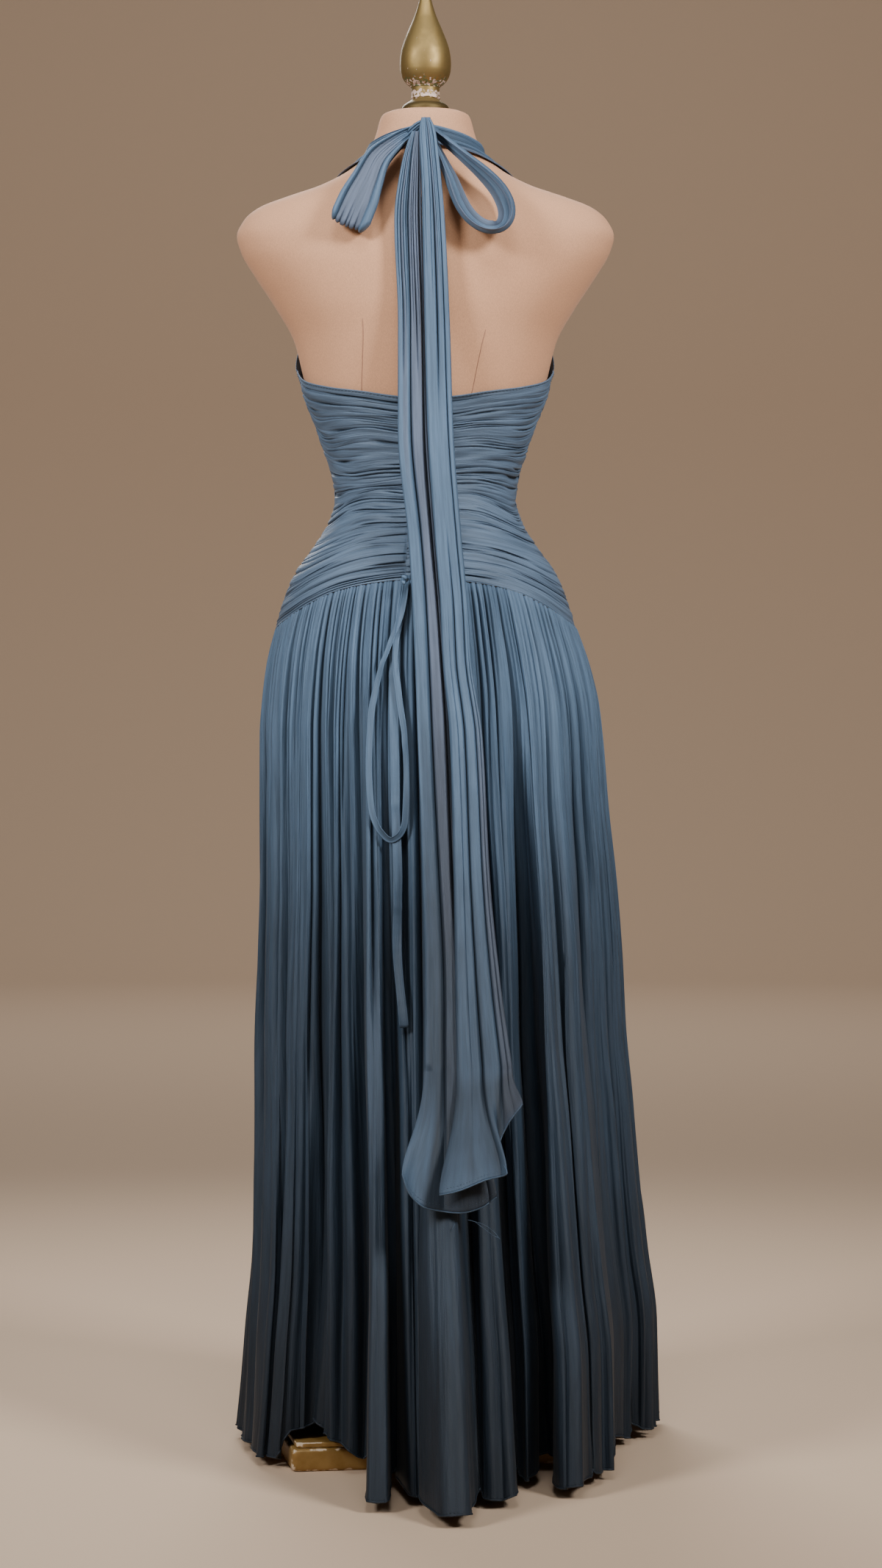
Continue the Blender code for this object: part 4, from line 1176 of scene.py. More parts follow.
@dataclass
class Stand:
    """The pole and the two chipped slabs of the base."""

    finishes: Finishes
    cells: int = 64  # mesh points along a side
    pole_sides: int = 48

    def build(self) -> None:
        """Make the slabs and the pole."""
        self._slab("base_slab_lower", BASE_SIDE, 0.0, 0.025, 0.004, "base_lower")
        self._slab("base_slab_upper", BASE_SIDE - 0.010, 0.0253, 0.006, 0.0015, "base_upper")
        self._pole("stand_pole", 0.016, 0.0316, 0.7897)

    def _slab(
        self, name: str, side: float, foot: float, thick: float, bevel: float, node: str
    ) -> None:
        """Make one slab, its edges rounded and chipped.

        Args:
            name: The piece's name.
            side: Its side.
            foot: The height of its underside.
            thick: Its thickness.
            bevel: The radius of its edges.
            node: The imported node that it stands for.
        """
        knocks = Wander(31, 0.018, 0.018)
        half = side / 2
        # One profile from the middle of the underside over the edge to the middle of the top.
        arc = np.linspace(0.0, math.pi / 2, 5)
        low = [(half - bevel + bevel * math.sin(a), bevel - bevel * math.cos(a)) for a in arc]
        high = [
            (half - bevel + bevel * math.cos(a), thick - bevel + bevel * math.sin(a)) for a in arc
        ]
        between = [(half, bevel + (thick - 2 * bevel) * share) for share in (0.25, 0.5, 0.75)]
        inner = [half * share for share in (0.3, 0.7, 0.93, 0.97)]
        profile = [(reach, 0.0) for reach in inner] + low + between + high
        profile += [(reach, thick) for reach in reversed(inner)]
        along = np.linspace(-1.0, 1.0, self.cells)[:-1]
        across = np.stack([np.ones_like(along), along], -1)
        square = np.concatenate([spun(across, 90.0 * corner) for corner in range(4)])
        rows, edges = [], []
        for reach, level in profile:
            rounding = 0.006 if reach > half * 0.9 else 0.0
            flat = square * reach
            limit = reach - rounding
            beyond = np.clip(np.abs(flat) - limit, 0.0, None) / max(rounding, 1e-9)
            both = (beyond > 0).all(-1)
            length = np.maximum(np.linalg.norm(beyond, axis=-1, keepdims=True), 1.0)
            rounded = np.sign(flat) * (limit + rounding * beyond / length)
            flat = np.where(both[:, None] & (rounding > 0), rounded, flat)
            spot = np.arctan2(flat[:, 1], flat[:, 0])
            knocked = np.clip(knocks.at(spot * half, level), 0.0, None)
            near = min(abs(reach - half) + min(level, thick - level), bevel) / bevel
            edge = np.full(len(flat), 1.0 - near)
            corner_near = ease((np.abs(flat).min(-1) / half - 0.93) / 0.07)
            edge = np.maximum(edge, corner_near * (0.5 if reach > half * 0.95 else 0.0))
            dent = bevel * 0.25 * knocked * (1.0 - near)
            flat = flat * (1 - dent / half)[:, None]
            rows.append(np.column_stack([flat, np.full(len(flat), foot + level)]))
            edges.append(edge)
        grid = np.array(rows)
        grid[..., :2] = spun(grid[..., :2], BASE_TURN)
        faces = capped_faces(len(profile), len(square))
        piece = make_piece(name, grid, faces, self.finishes.paint)
        mask = piece.data.attributes.new("edge", "FLOAT", "POINT")
        mask.data.foreach_set("value", np.concatenate(edges).astype(np.float32))
        piece.data.set_sharp_from_angle(angle=math.radians(50))
        settle(piece, Slot.PAINT, node)

    def _pole(self, name: str, radius: float, foot: float, top: float) -> None:
        """Make the pole.

        Args:
            name: The piece's name.
            radius: Its radius.
            foot: The height of its foot.
            top: The height of its top.
        """
        low = foot + 0.02
        levels = np.append(np.linspace(foot, low, 6), np.linspace(low, top, 20)[1:])
        grid = turned_grid(np.full(len(levels), radius), levels, self.pole_sides)
        faces = capped_faces(len(levels), self.pole_sides)
        piece = make_piece(name, grid, faces, self.finishes.wood)
        piece.data.set_sharp_from_angle(angle=math.radians(50))
        settle(piece, Slot.POLE, "pole")


# ---- The bodice and the halter ----


@dataclass
class Bodice:
    """The fitted bodice, ruched across: two back halves and two front halves."""

    finishes: Finishes
    # Creases from the seam to the upper edge, on the back and on the front.
    ruches: dict = field(default_factory=lambda: {"back": 82, "front": 50})
    columns: int = 88  # mesh columns across a half
    each: int = 5  # mesh rows from one crease to the next
    depth: float = 0.0044  # of a full crease

    def build(self) -> None:
        """Make the four halves and the rolled edge of the back."""
        closure = CLOSURE + np.array(CLOSURE_LEAN)
        left, right, front, end = (np.full(2, turn) for turn in (0.0, 180.0, 270.0, 360.0))
        halves = (
            ("back_left", left, closure, BACK_EDGE, "back", 11),
            ("back_right", closure, right, BACK_EDGE, "back", 12),
            ("front_right", right, front, BUST_LINE, "front", 13),
            ("front_left", front, end, BUST_LINE, "front", 14),
        )
        for name, first, last, top, kind, seed in halves:
            self._half(name, first, last, top, self.ruches[kind], seed)

    def _creases(self, ruches: int, seed: int) -> Creases:
        """Lay out the creases of one half.

        Args:
            ruches: How many.
            seed: Which layout.

        Returns:
            The creases, up the half, along its width.
        """
        rng = np.random.default_rng(seed)
        places = scatter(rng, 0.0, 1.0, ruches, 0.8)
        lot = rng.random(ruches)
        short = rng.uniform(0.2, 0.75, ruches)
        middle = rng.uniform(0.0, 0.6, ruches)
        inside = lot > 0.85
        starts = np.where(lot < 0.30, 1.0 - short, np.where(inside, middle, -0.5))
        ends = np.where((lot > 0.55) & ~inside, short, np.where(inside, middle + 0.4, 1.5))
        widths = rng.uniform(0.16, 0.42, ruches) / ruches
        depths = 0.25 + 0.85 * rng.random(ruches) ** 1.3
        skews = rng.uniform(-0.6, 0.6, ruches)
        return Creases(
            places, widths, depths, starts, ends, skews, 0.18, round_foot=0.14, steepness=2.7
        )

    def _half(
        self, name: str, first: Array, last: Array, top: Table, ruches: int, seed: int
    ) -> None:
        """Make one half.

        Args:
            name: Its place on the body.
            first: Its first edge's turn at the foot and at the top.
            last: Its last edge's turn.
            top: The height of its upper edge.
            ruches: How many creases it has.
            seed: Which layout.
        """
        creases = self._creases(ruches, seed)
        rise = lines_through(creases.places, 0.0, 1.0, self.each)[:, None]
        across = (1 - np.cos(np.pi * np.linspace(0.0, 1.0, self.columns)))[None, :] / 2
        left, right = (foot + (head - foot) * rise for foot, head in (first, last))
        turn = left + (right - left) * across
        inner = np.sin(np.pi * rise) ** 0.5
        bend = Wander(seed + 40, 0.5, 0.9).at(rise, across) * 0.010
        bend = bend + Wander(seed + 20, 0.08, 0.6).at(rise, across) * 0.32 / ruches
        low = SEAM.facing(turn) + GAP / 2
        high = top.facing(turn) - GAP / 2
        z = low + (high - low) * np.clip(rise + bend * inner, 0.0, 1.0)
        side_pull = 0.8 + 0.4 * np.abs(2 * across - 1) ** 2
        uneven = np.clip(0.8 + 0.35 * Wander(seed + 60, 0.05, 0.4).at(rise, across), 0.25, 1.3)
        valley = creases.depth(rise, across) * self.depth * side_pull * uneven
        seams = ease(across / 0.02) * ease((1 - across) / 0.02)
        swell = Wander(seed + 80, 0.06, 0.5).at(rise, across) * 0.0004
        edges = ease(rise / 0.010) * ease((1 - rise) / 0.012)
        out = BODICE_OUT - np.clip(valley, 0.0, RUCHE_CUT) * edges * (0.3 + 0.7 * seams)
        out = out + (swell - 0.0011 * (1 - seams)) * edges
        grid = form_point(turn, z, out)
        # painted shade in the ruches' creases, by how deep each is cut
        deep = np.clip(valley / RUCHE_CUT, 0.0, 1.0) ** 1.2 * edges
        piece = sheet_piece(
            f"bodice_{name}_cloth", grid, self.finishes.bodice, turned=True, deep=deep,
            node=f"bodice_{name}",
        )
        edge = grid[-1]
        outward = unit(edge * np.array([1.0, 1.0, 0.0]))
        line = edge + outward * 0.0012 - UP * 0.0012
        roll = sewn_edge(
            f"bodice_{name}_edge", self.finishes.bodice, UP,
            (edge, 0.0011), (line, 0.0045, 0.0022, 0.00028),
        )


@dataclass
class Halter:
    """The gathered cups that run up into straps round the neck."""

    finishes: Finishes
    folds: int = 15  # lengthwise folds
    rows: int = 180  # mesh rows from bust to nape
    each: int = 4  # mesh columns from one fold to the next
    clear: float = 0.0040  # from the form to the cloth
    ridge: float = 0.0024  # how far a fold stands up

    def build(self) -> None:
        """Make both sides."""
        for side, name in ((1.0, "left"), (-1.0, "right")):
            rng = np.random.default_rng(21 if side > 0 else 22)
            count = self.folds
            creases = Creases(
                scatter(rng, 0.0, 1.0, count, 0.6),
                rng.uniform(0.014, 0.026, count),
                rng.uniform(0.5, 1.0, count),
                np.full(count, -0.2),
                np.where(rng.random(count) < 0.55, 1.3, rng.uniform(0.35, 0.8, count)),
                rng.uniform(-0.5, 0.5, count),
                fade=0.2,
            )
            across = lines_through(creases.places, 0.0, 1.0, self.each)[None, :]
            along = np.linspace(0.0, 1.0, self.rows)[:, None]
            across, along = np.broadcast_arrays(across, along)
            strap = ease((along - 0.45) / 0.2)
            fine = creases.depth(across, along) * (1 - 0.55 * strap)
            coarse = self._strap_folds(rng).depth(across, along) * strap
            valley = np.clip(fine + coarse, 0.0, 1.15) * self.ridge
            rising = ease(along / 0.03)
            hug = ease((along - 0.2) / 0.15) * ease((0.97 - along) / 0.1)
            out = self.clear - 0.0030 * hug + self.ridge * rising - valley * rising
            grid = self._point(along, across, out, side)
            under = ease((across - 0.72) / 0.08) * 0.7 * strap
            grid, under, valley = (rows[:, :: int(side)] for rows in (grid, under, valley))
            piece = sheet_piece(
                f"halter_{name}_cloth", grid, self.finishes.strap, under, wall=0.0006,
                deep=valley / self.ridge * 0.8, node=f"halter_{name}",
            )

    @staticmethod
    def _strap_folds(rng: Random) -> Creases:
        """Lay out the three deep folds of a strap.

        Args:
            rng: Where the random numbers come from.

        Returns:
            The folds.
        """
        places = np.array([0.27, 0.50, 0.76]) + rng.uniform(-0.04, 0.04, 3)
        widths, depths = np.array([0.07, 0.09, 0.06]), np.array([0.8, 1.0, 0.9])
        skews = np.array([0.3, -0.3, 0.4])
        return Creases(places, widths, depths, np.zeros(3), np.full(3, 1.5), skews, fade=0.3)

    @staticmethod
    def _point(along: Array, across: Array, out: Array, side: float) -> Array:
        """Find a point of the halter.

        Args:
            along: From the bust, 0, to the nape, 1.
            across: From the neckline edge, 0, to the armhole edge, 1.
            out: How far out from the form.
            side: 1 for the left half and -1 for the right.

        Returns:
            Points.
        """
        neck_turn, neck_z, arm_turn, arm_z = (HALTER.at(key, along) for key in HALTER.columns[1:])
        turn = neck_turn + (arm_turn - neck_turn) * across
        z = neck_z + (arm_z - neck_z) * across
        start = HALTER.values[0]
        start_turn = start[1] + (start[3] - start[1]) * across
        start_z = start[2] + (start[4] - start[2]) * across
        settled = 1 - ease(along / 0.15)
        z = z + (BUST_LINE.facing(start_turn) + GAP / 2 - start_z) * settled
        skin = form_point(turn, z)
        around = form_point(turn + 0.4, z) - form_point(turn - 0.4, z)
        up = form_point(turn, z + 0.001) - form_point(turn, z - 0.001)
        true_normal = unit(np.cross(around, up))
        level = unit(true_normal * np.array([1.0, 1.0, 0.0]))
        mixed = unit(level + (true_normal - level) * (1 - settled)[..., None])
        return (skin + mixed * out[..., None]) * np.array([side, 1.0, 1.0])


# ---- The skirt ----


@dataclass
class Skirt:
    """The gathered skirt: two back panels and a front one, opening into a short train."""

    finishes: Finishes
    # Fine gathers across the back and across the front.
    gathers: dict = field(default_factory=lambda: {"back": 98, "front": 84})
    # Mesh columns from one gather to the next, at the back and at the front.
    each: dict = field(default_factory=lambda: {"back": 8, "front": 6})
    rows: int = 96  # mesh rows down the skirt
    hem: float = 0.006  # the hem's height off the floor
    hem_over_base: float = 0.037  # the hem's height where it lies over the base
    grids: list = field(default_factory=list)
    leans: Array | None = None

    def __post_init__(self) -> None:
        """Work out the hem's course and the gathers."""
        knots = [(0.0, SKIRT.values[0, 1], 0.0)]
        for row in FOLDS.values:
            for turn, x, y, flat in (row[:4], row[4:]):
                angle = math.radians(turn)
                along = np.array([-math.sin(angle), math.cos(angle)]) * flat
                knots.append((turn - 1.4, x - along[0], y - along[1]))
                if flat > 0.0055 and y > 0.15:
                    knots.append((turn, x + 0.45 * along[1], y - 0.45 * along[0]))
                knots.append((turn + 1.4, x + along[0], y + along[1]))
        knots.append((180.0, -SKIRT.values[0, 2], -0.045))
        self.knots = np.array(knots)
        self.creases = self._layout()

    def _layout(self) -> Creases:
        """Lay out the gathers round the whole skirt: most fade on the way down, some stay.

        Returns:
            The gathers.
        """
        rng = np.random.default_rng(5)
        back, front = self.gathers["back"], self.gathers["front"]
        places = np.concatenate(
            [scatter(rng, 0.0, 180.0, back, 0.7), scatter(rng, 180.0, 360.0, front, 0.6)]
        )
        count = back + front
        lot = rng.random(count)
        short, long = lot < 0.42, lot > 0.95
        reach = np.where(short, rng.uniform(0.10, 0.34, count), rng.uniform(0.34, 0.74, count))
        reach = np.where(long, rng.uniform(1.0, 1.4, count), reach)
        widths = rng.uniform(0.32, 0.55, count)
        spreads = np.where(short, 0.6, np.where(long, 3.2, 1.5))
        depths = 0.25 + 0.85 * rng.random(count) ** 1.2
        depths = np.where(long, np.maximum(depths, 0.8), depths)
        for hollow in FOLDS.column("hollow_turn"):
            nearest = int(np.argmin(np.abs(places - hollow)))
            places[nearest] = hollow
            widths[nearest], depths[nearest], reach[nearest] = 0.5, 1.0, 1.5
            spreads[nearest], long[nearest] = 3.4, True
        order = np.argsort(places)
        gaps = np.diff(np.append(places[order], places[order][0] + 360.0))
        self.leans = rng.uniform(-0.5, 0.5, count) * np.minimum(gaps, np.roll(gaps, 1))
        self.leans *= np.where(long[order], 0.4, 1.0)
        columns = (places, widths, depths, np.full(count, -0.2), reach)
        return Creases(
            *(column[order] for column in columns), rng.uniform(-0.55, 0.55, count),
            fade=0.22, period=360.0, round_foot=0.12, steepness=2.9, spreads=spreads[order],
        )

    def outline(self, turn: Array, z: Array) -> tuple[Array, Array]:
        """Return the smooth outline at a turn and height, and its outward level direction.

        Args:
            turn: The turn.
            z: The height.

        Returns:
            Level places and level unit vectors.
        """
        radians = np.radians(turn)
        side = np.where(np.cos(radians) >= 0, SKIRT.at("left", z), SKIRT.at("right", z))
        depth = np.where(np.sin(radians) >= 0, SKIRT.at("back", z), SKIRT.at("front", z))
        flat = np.stack([side * np.cos(radians), depth * np.sin(radians)], -1)
        return flat, level_normal(turn, side, depth)[..., :2]

    def hem_place(self, turn: Array) -> Array:
        """Return where the hem runs, seen from above.

        Args:
            turn: The turn.

        Returns:
            Level places.
        """
        back = np.stack([monotone(self.knots[:, 0], self.knots[:, i], turn) for i in (1, 2)], -1)
        flat, outward = self.outline(turn, np.full_like(turn, self.hem))
        front = np.clip((turn - 180.0) / 180.0, 0.0, 1.0)
        swing = np.sin(math.pi * front) ** 0.5
        wave = np.cos(2 * math.pi * (11 * front + 0.16 * np.sin(9.0 * front)))
        folded = flat + outward * (0.020 * swing * wave)[..., None]
        folded[..., 1] -= 0.045 * (1 - ease(front / 0.25))
        return np.where((turn <= 180.0)[..., None], back, folded)

    def hem_height(self, turn: Array) -> Array:
        """Return the hem's height, lifted over the base and where it sweeps back.

        Args:
            turn: The turn.

        Returns:
            Heights.
        """
        past = np.abs(spun(self.hem_place(turn), -BASE_TURN)) - BASE_SIDE / 2
        beyond = np.linalg.norm(np.maximum(past, 0.0), axis=-1)
        outside = np.where(beyond > 0, beyond, past.max(-1))
        dropped = ease((outside - 0.003) / 0.015)
        height = self.hem_over_base + (self.hem - self.hem_over_base) * dropped
        swept = 0.030 * ease((turn - 44.0) / 5.0) * ease((66.5 - turn) / 12.0)
        return np.maximum(height, self.hem + swept)

    def middle(self, turn: Array, fall: Array) -> Array:
        """Find the skirt's cloth before its gathers.

        Args:
            turn: The turn.
            fall: From the seam, 0, to the hem, 1.

        Returns:
            Points.
        """
        turn, fall = np.broadcast_arrays(np.asarray(turn, float), np.asarray(fall, float))
        top = SEAM.facing(turn) - GAP / 2
        z = top + (self.hem_height(turn) - top) * fall
        flat, outward = self.outline(turn, z)
        hem_flat, _ = self.outline(turn, np.full_like(z, self.hem))
        opened = np.clip((fall - 0.08) / 0.92, 0.0, 1.0)
        growth = (opened**1.3)[..., None]
        broad = np.cos(np.radians(32 * turn) + 1.3 * np.sin(np.radians(5 * turn)))
        depth = GATHERS.at("crest", fall) + GATHERS.at("broad", fall) * broad
        flat = flat + (self.hem_place(turn) - hem_flat) * growth + outward * depth[..., None]
        return np.concatenate([flat, z[..., None]], -1)

    def surface(self, turns: Array, falls: Array) -> tuple[Array, Array]:
        """Find the gathered cloth.

        Args:
            turns: The columns' turns on the cloth.
            falls: The rows' falls.

        Returns:
            Points [fall][turn], and how far each lies in a crease.
        """
        turn, fall = np.meshgrid(turns, falls)
        bow = ease(fall / 0.25) * (1 - 0.75 * ease((fall - 0.5) / 0.5))
        calm = ease(np.min([np.abs(turn - seam) for seam in (0.0, 180.0, 360.0)], axis=0) / 6.0)
        drift = Wander(7, 14.0, 0.9, 360.0).at(turn, fall) * 0.55 * bow
        lean = np.interp(turn, self.creases.places, self.leans, period=360.0)
        placed = turn + (drift + lean * ease(fall / 0.3)) * calm
        base = self.middle(placed, fall)
        around = self.middle(placed + 0.25, fall) - self.middle(placed - 0.25, fall)
        down = self.middle(placed, np.minimum(fall + 0.004, 1.0))
        down = down - self.middle(placed, np.maximum(fall - 0.004, 0.0))
        normal = unit(np.cross(down, around))
        outward = self.outline(placed, base[..., 2])[1]
        facing = np.clip((normal[..., :2] * outward).sum(-1), 0.35, 1.0)
        share = self.creases.depth(turn, fall)
        valley = 1.45 * np.tanh(share / 1.45) * VALLEYS.at("depth", fall) * facing
        valley = np.minimum(valley, self._room(base))
        swell = Wander(9, 5.0, 1.6, 360.0).at(turn, fall) * 0.0012 * ease(fall / 0.1)
        swell = swell + Wander(10, 1.7, 0.8, 360.0).at(turn, fall) * 0.0007 * ease(fall / 0.05)
        loose = Wander(15, 5.0, 1.6, 360.0, 9).at(turn, fall)
        swell = swell + loose * 0.0040 * ease((fall - 0.45) / 0.35)
        grid = base + normal * (swell - valley)[..., None]
        lifted = 0.011 * np.clip(share, 0.0, 1.0) * ease((fall - 0.90) / 0.10)
        uneven = 0.005 + 0.0022 * np.clip(Wander(16, 16.0, 2.0, 360.0).at(turn, fall), -1, 2)
        grid[..., 2] += lifted + uneven * ease((fall - 0.9) / 0.1)
        return grid, np.clip(share, 0.0, 1.0) * ease(fall / 0.01)

    @staticmethod
    def _room(points: Array) -> Array:
        """Measure how deep a valley can be before it meets the form's cover.

        Args:
            points: Places on the cloth.

        Returns:
            The room at each, in metres.
        """
        x, y, z = (points[..., axis] for axis in range(3))
        depth = np.where(y >= 0, FORM.at("back", z), FORM.at("front", z))
        size = np.sqrt((x / FORM.at("side", z)) ** 2 + (y / depth) ** 2)
        room = np.hypot(x, y) * (1 - 1 / size) - 0.0012
        below = ease((0.80 - z) / 0.03)
        return np.maximum(room, 0.0) + below * 0.05

    def build(self) -> None:
        """Make the three panels with their rolled hems."""
        closure = CLOSURE + CLOSURE_LEAN[0]
        panels = (
            ("back_left", 0.0, closure, "back", (0.75, 1.00), 0.60),
            ("back_right", closure, 180.0, "back", (1.05, 1.10), 0.85),
            ("front", 180.0, 360.0, "front", (1.25, 0.95), 0.95),
        )
        falls = np.linspace(0.0, 1.0, self.rows)
        falls = falls * (0.5 + 0.5 * falls)
        for name, first, last, kind, flat, area in panels:
            turns = lines_through(self.creases.places, first, last, self.each[kind])
            grid, deep = self.surface(turns, falls)
            node = f"skirt_{name}"
            piece = sheet_piece(f"{node}_cloth", grid, self.finishes.skirt, deep=deep, node=node)
            self.grids.append(grid)
            hem = self._hem(name, grid)

    def _hem(self, name: str, grid: Array) -> Piece:
        """Make a panel's fine rolled hem and its row of stitches.

        Args:
            name: The panel's name.
            grid: The panel's points.

        Returns:
            The piece.
        """
        edge = grid[-1, ::2]
        line = edge + UP * 0.0034 - unit(np.cross(UP, np.gradient(edge, axis=0))) * 0.0006
        return sewn_edge(
            f"skirt_{name}_hem", self.finishes.skirt, UP,
            (edge + UP * 0.0006, 0.0012), (line, 0.0042, 0.0022, 0.0003),
        )

    def back_at(self, z: float, left: float, right: float) -> float:
        """Find how far back the skirt reaches.

        Args:
            z: The height.
            left: The left end of the stretch that is looked at.
            right: Its right end.

        Returns:
            The furthest y there.
        """
        x, y, height = np.concatenate([grid.reshape(-1, 3) for grid in self.grids[:2]]).T
        near = (np.abs(height - z) < 0.008) & (x <= left) & (x >= right)
        return float(y[near].max()) if near.any() else 0.0


# ---- The bow, its tails and the ribbon ----


def averaged(values: Array, reach: int) -> Array:
    """Smooth values by the mean of each and of its neighbours to either side."""
    count = 2 * reach + 1
    return np.convolve(np.pad(values, reach, mode="edge"), np.ones(count) / count, mode="valid")


def folded_band(path: Array, across: Array, widths: Array, places: Array, rise: Array) -> Array:
    """Lay a creased band along a path.

    Args:
        path: The points of its middle line.
        across: The band's width direction at each point.
        widths: Its width at each point.
        places: The columns' places across, -0.5 to 0.5.
        rise: How far each point [row][column] stands off the band.

    Returns:
        Points [row][column].
    """
    step = np.gradient(path, axis=0)
    normal = unit(np.cross(across, step))
    middle = path[:, None] + across[:, None] * (widths[:, None] * places)[..., None]
    return middle + normal[:, None] * rise[..., None]


def lengthwise(seed: int, places: tuple, width: float) -> Creases:
    """Lay out creases that run the whole length of a band.

    Args:
        seed: Which layout.
        places: Where they lie across, -0.5 to 0.5.
        width: Of one crease.

    Returns:
        The creases.
    """
    rng = np.random.default_rng(seed)
    count = len(places)
    widths, depths = width * rng.uniform(0.8, 1.3, count), rng.uniform(0.6, 1.0, count)
    ends, skews = np.full(count, 2.0), rng.uniform(-0.5, 0.5, count)
    return Creases(np.array(places, float), widths, depths, -ends / 2, ends, skews)


@dataclass
class Bow:
    """The bow at the nape: its knot with the wrap over it, its flat loop and its open loop."""

    finishes: Finishes
    rows: int = 70  # mesh rows along one leg of a loop
    wall: float = 0.0006  # of the cloth

    def build(self) -> None:
        """Make the knot and the loops."""
        self._knot()
        self._wrap()
        self._flat_loop()
        self._open_loop()

    def _knot(self) -> None:
        """Make the knot's rounded core, grooved where its folds turn."""
        rows, columns = 40, 72
        tilt = np.linspace(0.03, math.pi - 0.03, rows)[:, None]
        turn = np.linspace(0.0, 2 * math.pi, columns, endpoint=False)[None, :]
        x = np.sin(tilt) * np.cos(turn)
        y = np.sin(tilt) * np.sin(turn)
        z = np.cos(tilt) * np.ones_like(turn)
        slant = x * 0.8 + z * 0.9 + 0.25 * np.sin(3 * y)
        groove = np.abs(np.sin(4.5 * slant + 0.6)) ** 0.6
        size = 0.90 + 0.10 * groove
        pinch = 1.0 - 0.12 * np.cos(math.pi * x) * np.abs(z)
        centre, half = np.array([0.003, 0.0679, 1.5030]), np.array([0.0125, 0.0095, 0.0090])
        grid = centre + half * np.stack([x, y, z], -1) * (size * pinch)[..., None]
        faces = capped_faces(rows, columns)
        piece = make_piece("knot_core", grid, faces, self.finishes.strap, cloth_map(grid))
        settle(piece, Slot.CHIFFON, "knot")

    def _wrap(self) -> None:
        """Make the fold that comes from the left, turns over the knot and runs down as a tail."""
        course = Table("along x y z width", """
            0 0.025 0.0668 1.487 0.012; 0.2 0.017 0.0745 1.4945 0.013;
            0.42 0.0095 0.08 1.5005 0.0125; 0.62 0.004 0.083 1.504 0.011;
            0.82 -0.0005 0.082 1.505 0.009; 1 -0.004 0.079 1.504 0.007
        """)
        along = np.linspace(0.0, 1.0, 60)
        path = course.points("x y z", along)
        across = unit(np.cross(unit(np.gradient(path, axis=0)), BACK))
        creases = lengthwise(61, (-0.28, -0.04, 0.20), 0.06)
        places = lines_through(creases.places, -0.5, 0.5, 9)
        deep = creases.depth(places[None, :], along[:, None])
        rise = 0.0030 * (1 - (2 * places[None, :]) ** 2) - 0.0024 * deep
        grid = folded_band(path, across, course.at("width", along), places, rise)
        sheet_piece("knot_wrap", grid, self.finishes.strap, wall=self.wall, deep=deep * 0.9)

    def _flat_loop(self) -> None:
        """Make the loop that lies flat, folded at its foot with short pleats."""
        rows = np.linspace(0.0, 1.0, self.rows)
        outer, inner = (BOW_LEFT.points(f"x {leg}_y z", rows) for leg in ("outer", "inner"))
        turns = np.linspace(0.0, math.pi, 14)[1:-1, None]
        sag = np.array([0.0022, 0.0, -0.0050])
        bend = (outer[-1] + inner[-1]) / 2 + (outer[-1] - inner[-1]) / 2 * np.cos(turns)
        bend = bend + sag * np.sin(turns)
        path = np.concatenate([outer, bend, inner[::-1]])
        down = np.concatenate([rows, np.ones(len(bend)), rows[::-1]])
        lean = np.radians(BOW_LEFT.at("lean", down))
        across = np.stack([np.sin(lean), np.zeros_like(lean), np.cos(lean)], -1)
        creases = lengthwise(62, (-0.29, 0.35), 0.022)
        pleats = lengthwise(64, (-0.17, -0.02, 0.07, 0.22), 0.020)
        every = np.concatenate([creases.places, pleats.places])
        places = lines_through(every, -0.5, 0.5, 9)
        run = np.linspace(0.0, 1.0, len(path))[:, None]
        bent = bell(run, 0.5, 0.07)
        folds = creases.depth(places[None, :], run)
        short = pleats.depth(places[None, :], run) * (1.6 * bent + bell(run, 0.0, 0.10) + 0.25)
        rolls = 0.0040 * np.clip(1 - ((places + 0.40) / 0.12) ** 2, 0.0, 1.0)
        rolls = rolls + 0.0042 * np.clip(1 - ((places - 0.43) / 0.08) ** 2, 0.0, 1.0)
        rise = rolls - 0.0016 * folds - 0.0019 * short
        grid = folded_band(path, across, BOW_LEFT.at("width", down), places, rise)
        corner = np.clip((np.abs(places) - 0.20) / 0.30, 0.0, 1.0)[None, :] ** 2
        corner = (0.013 * corner - 0.004) * bent
        hang = unit(BOW_LEFT.values[-1, [1, 2, 4]] - BOW_LEFT.values[-3, [1, 2, 4]])
        grid = grid - corner[..., None] * hang
        middle = ease((0.32 - np.abs(places - 0.03)) / 0.03)[None, :]
        under = middle * ease((run - 0.05) / 0.08) * np.ones_like(rise)
        piece = sheet_piece(
            "bow_left_loop", grid, self.finishes.strap, under, self.wall,
            deep=(folds + short) * 0.7, node="bow_left",
        )

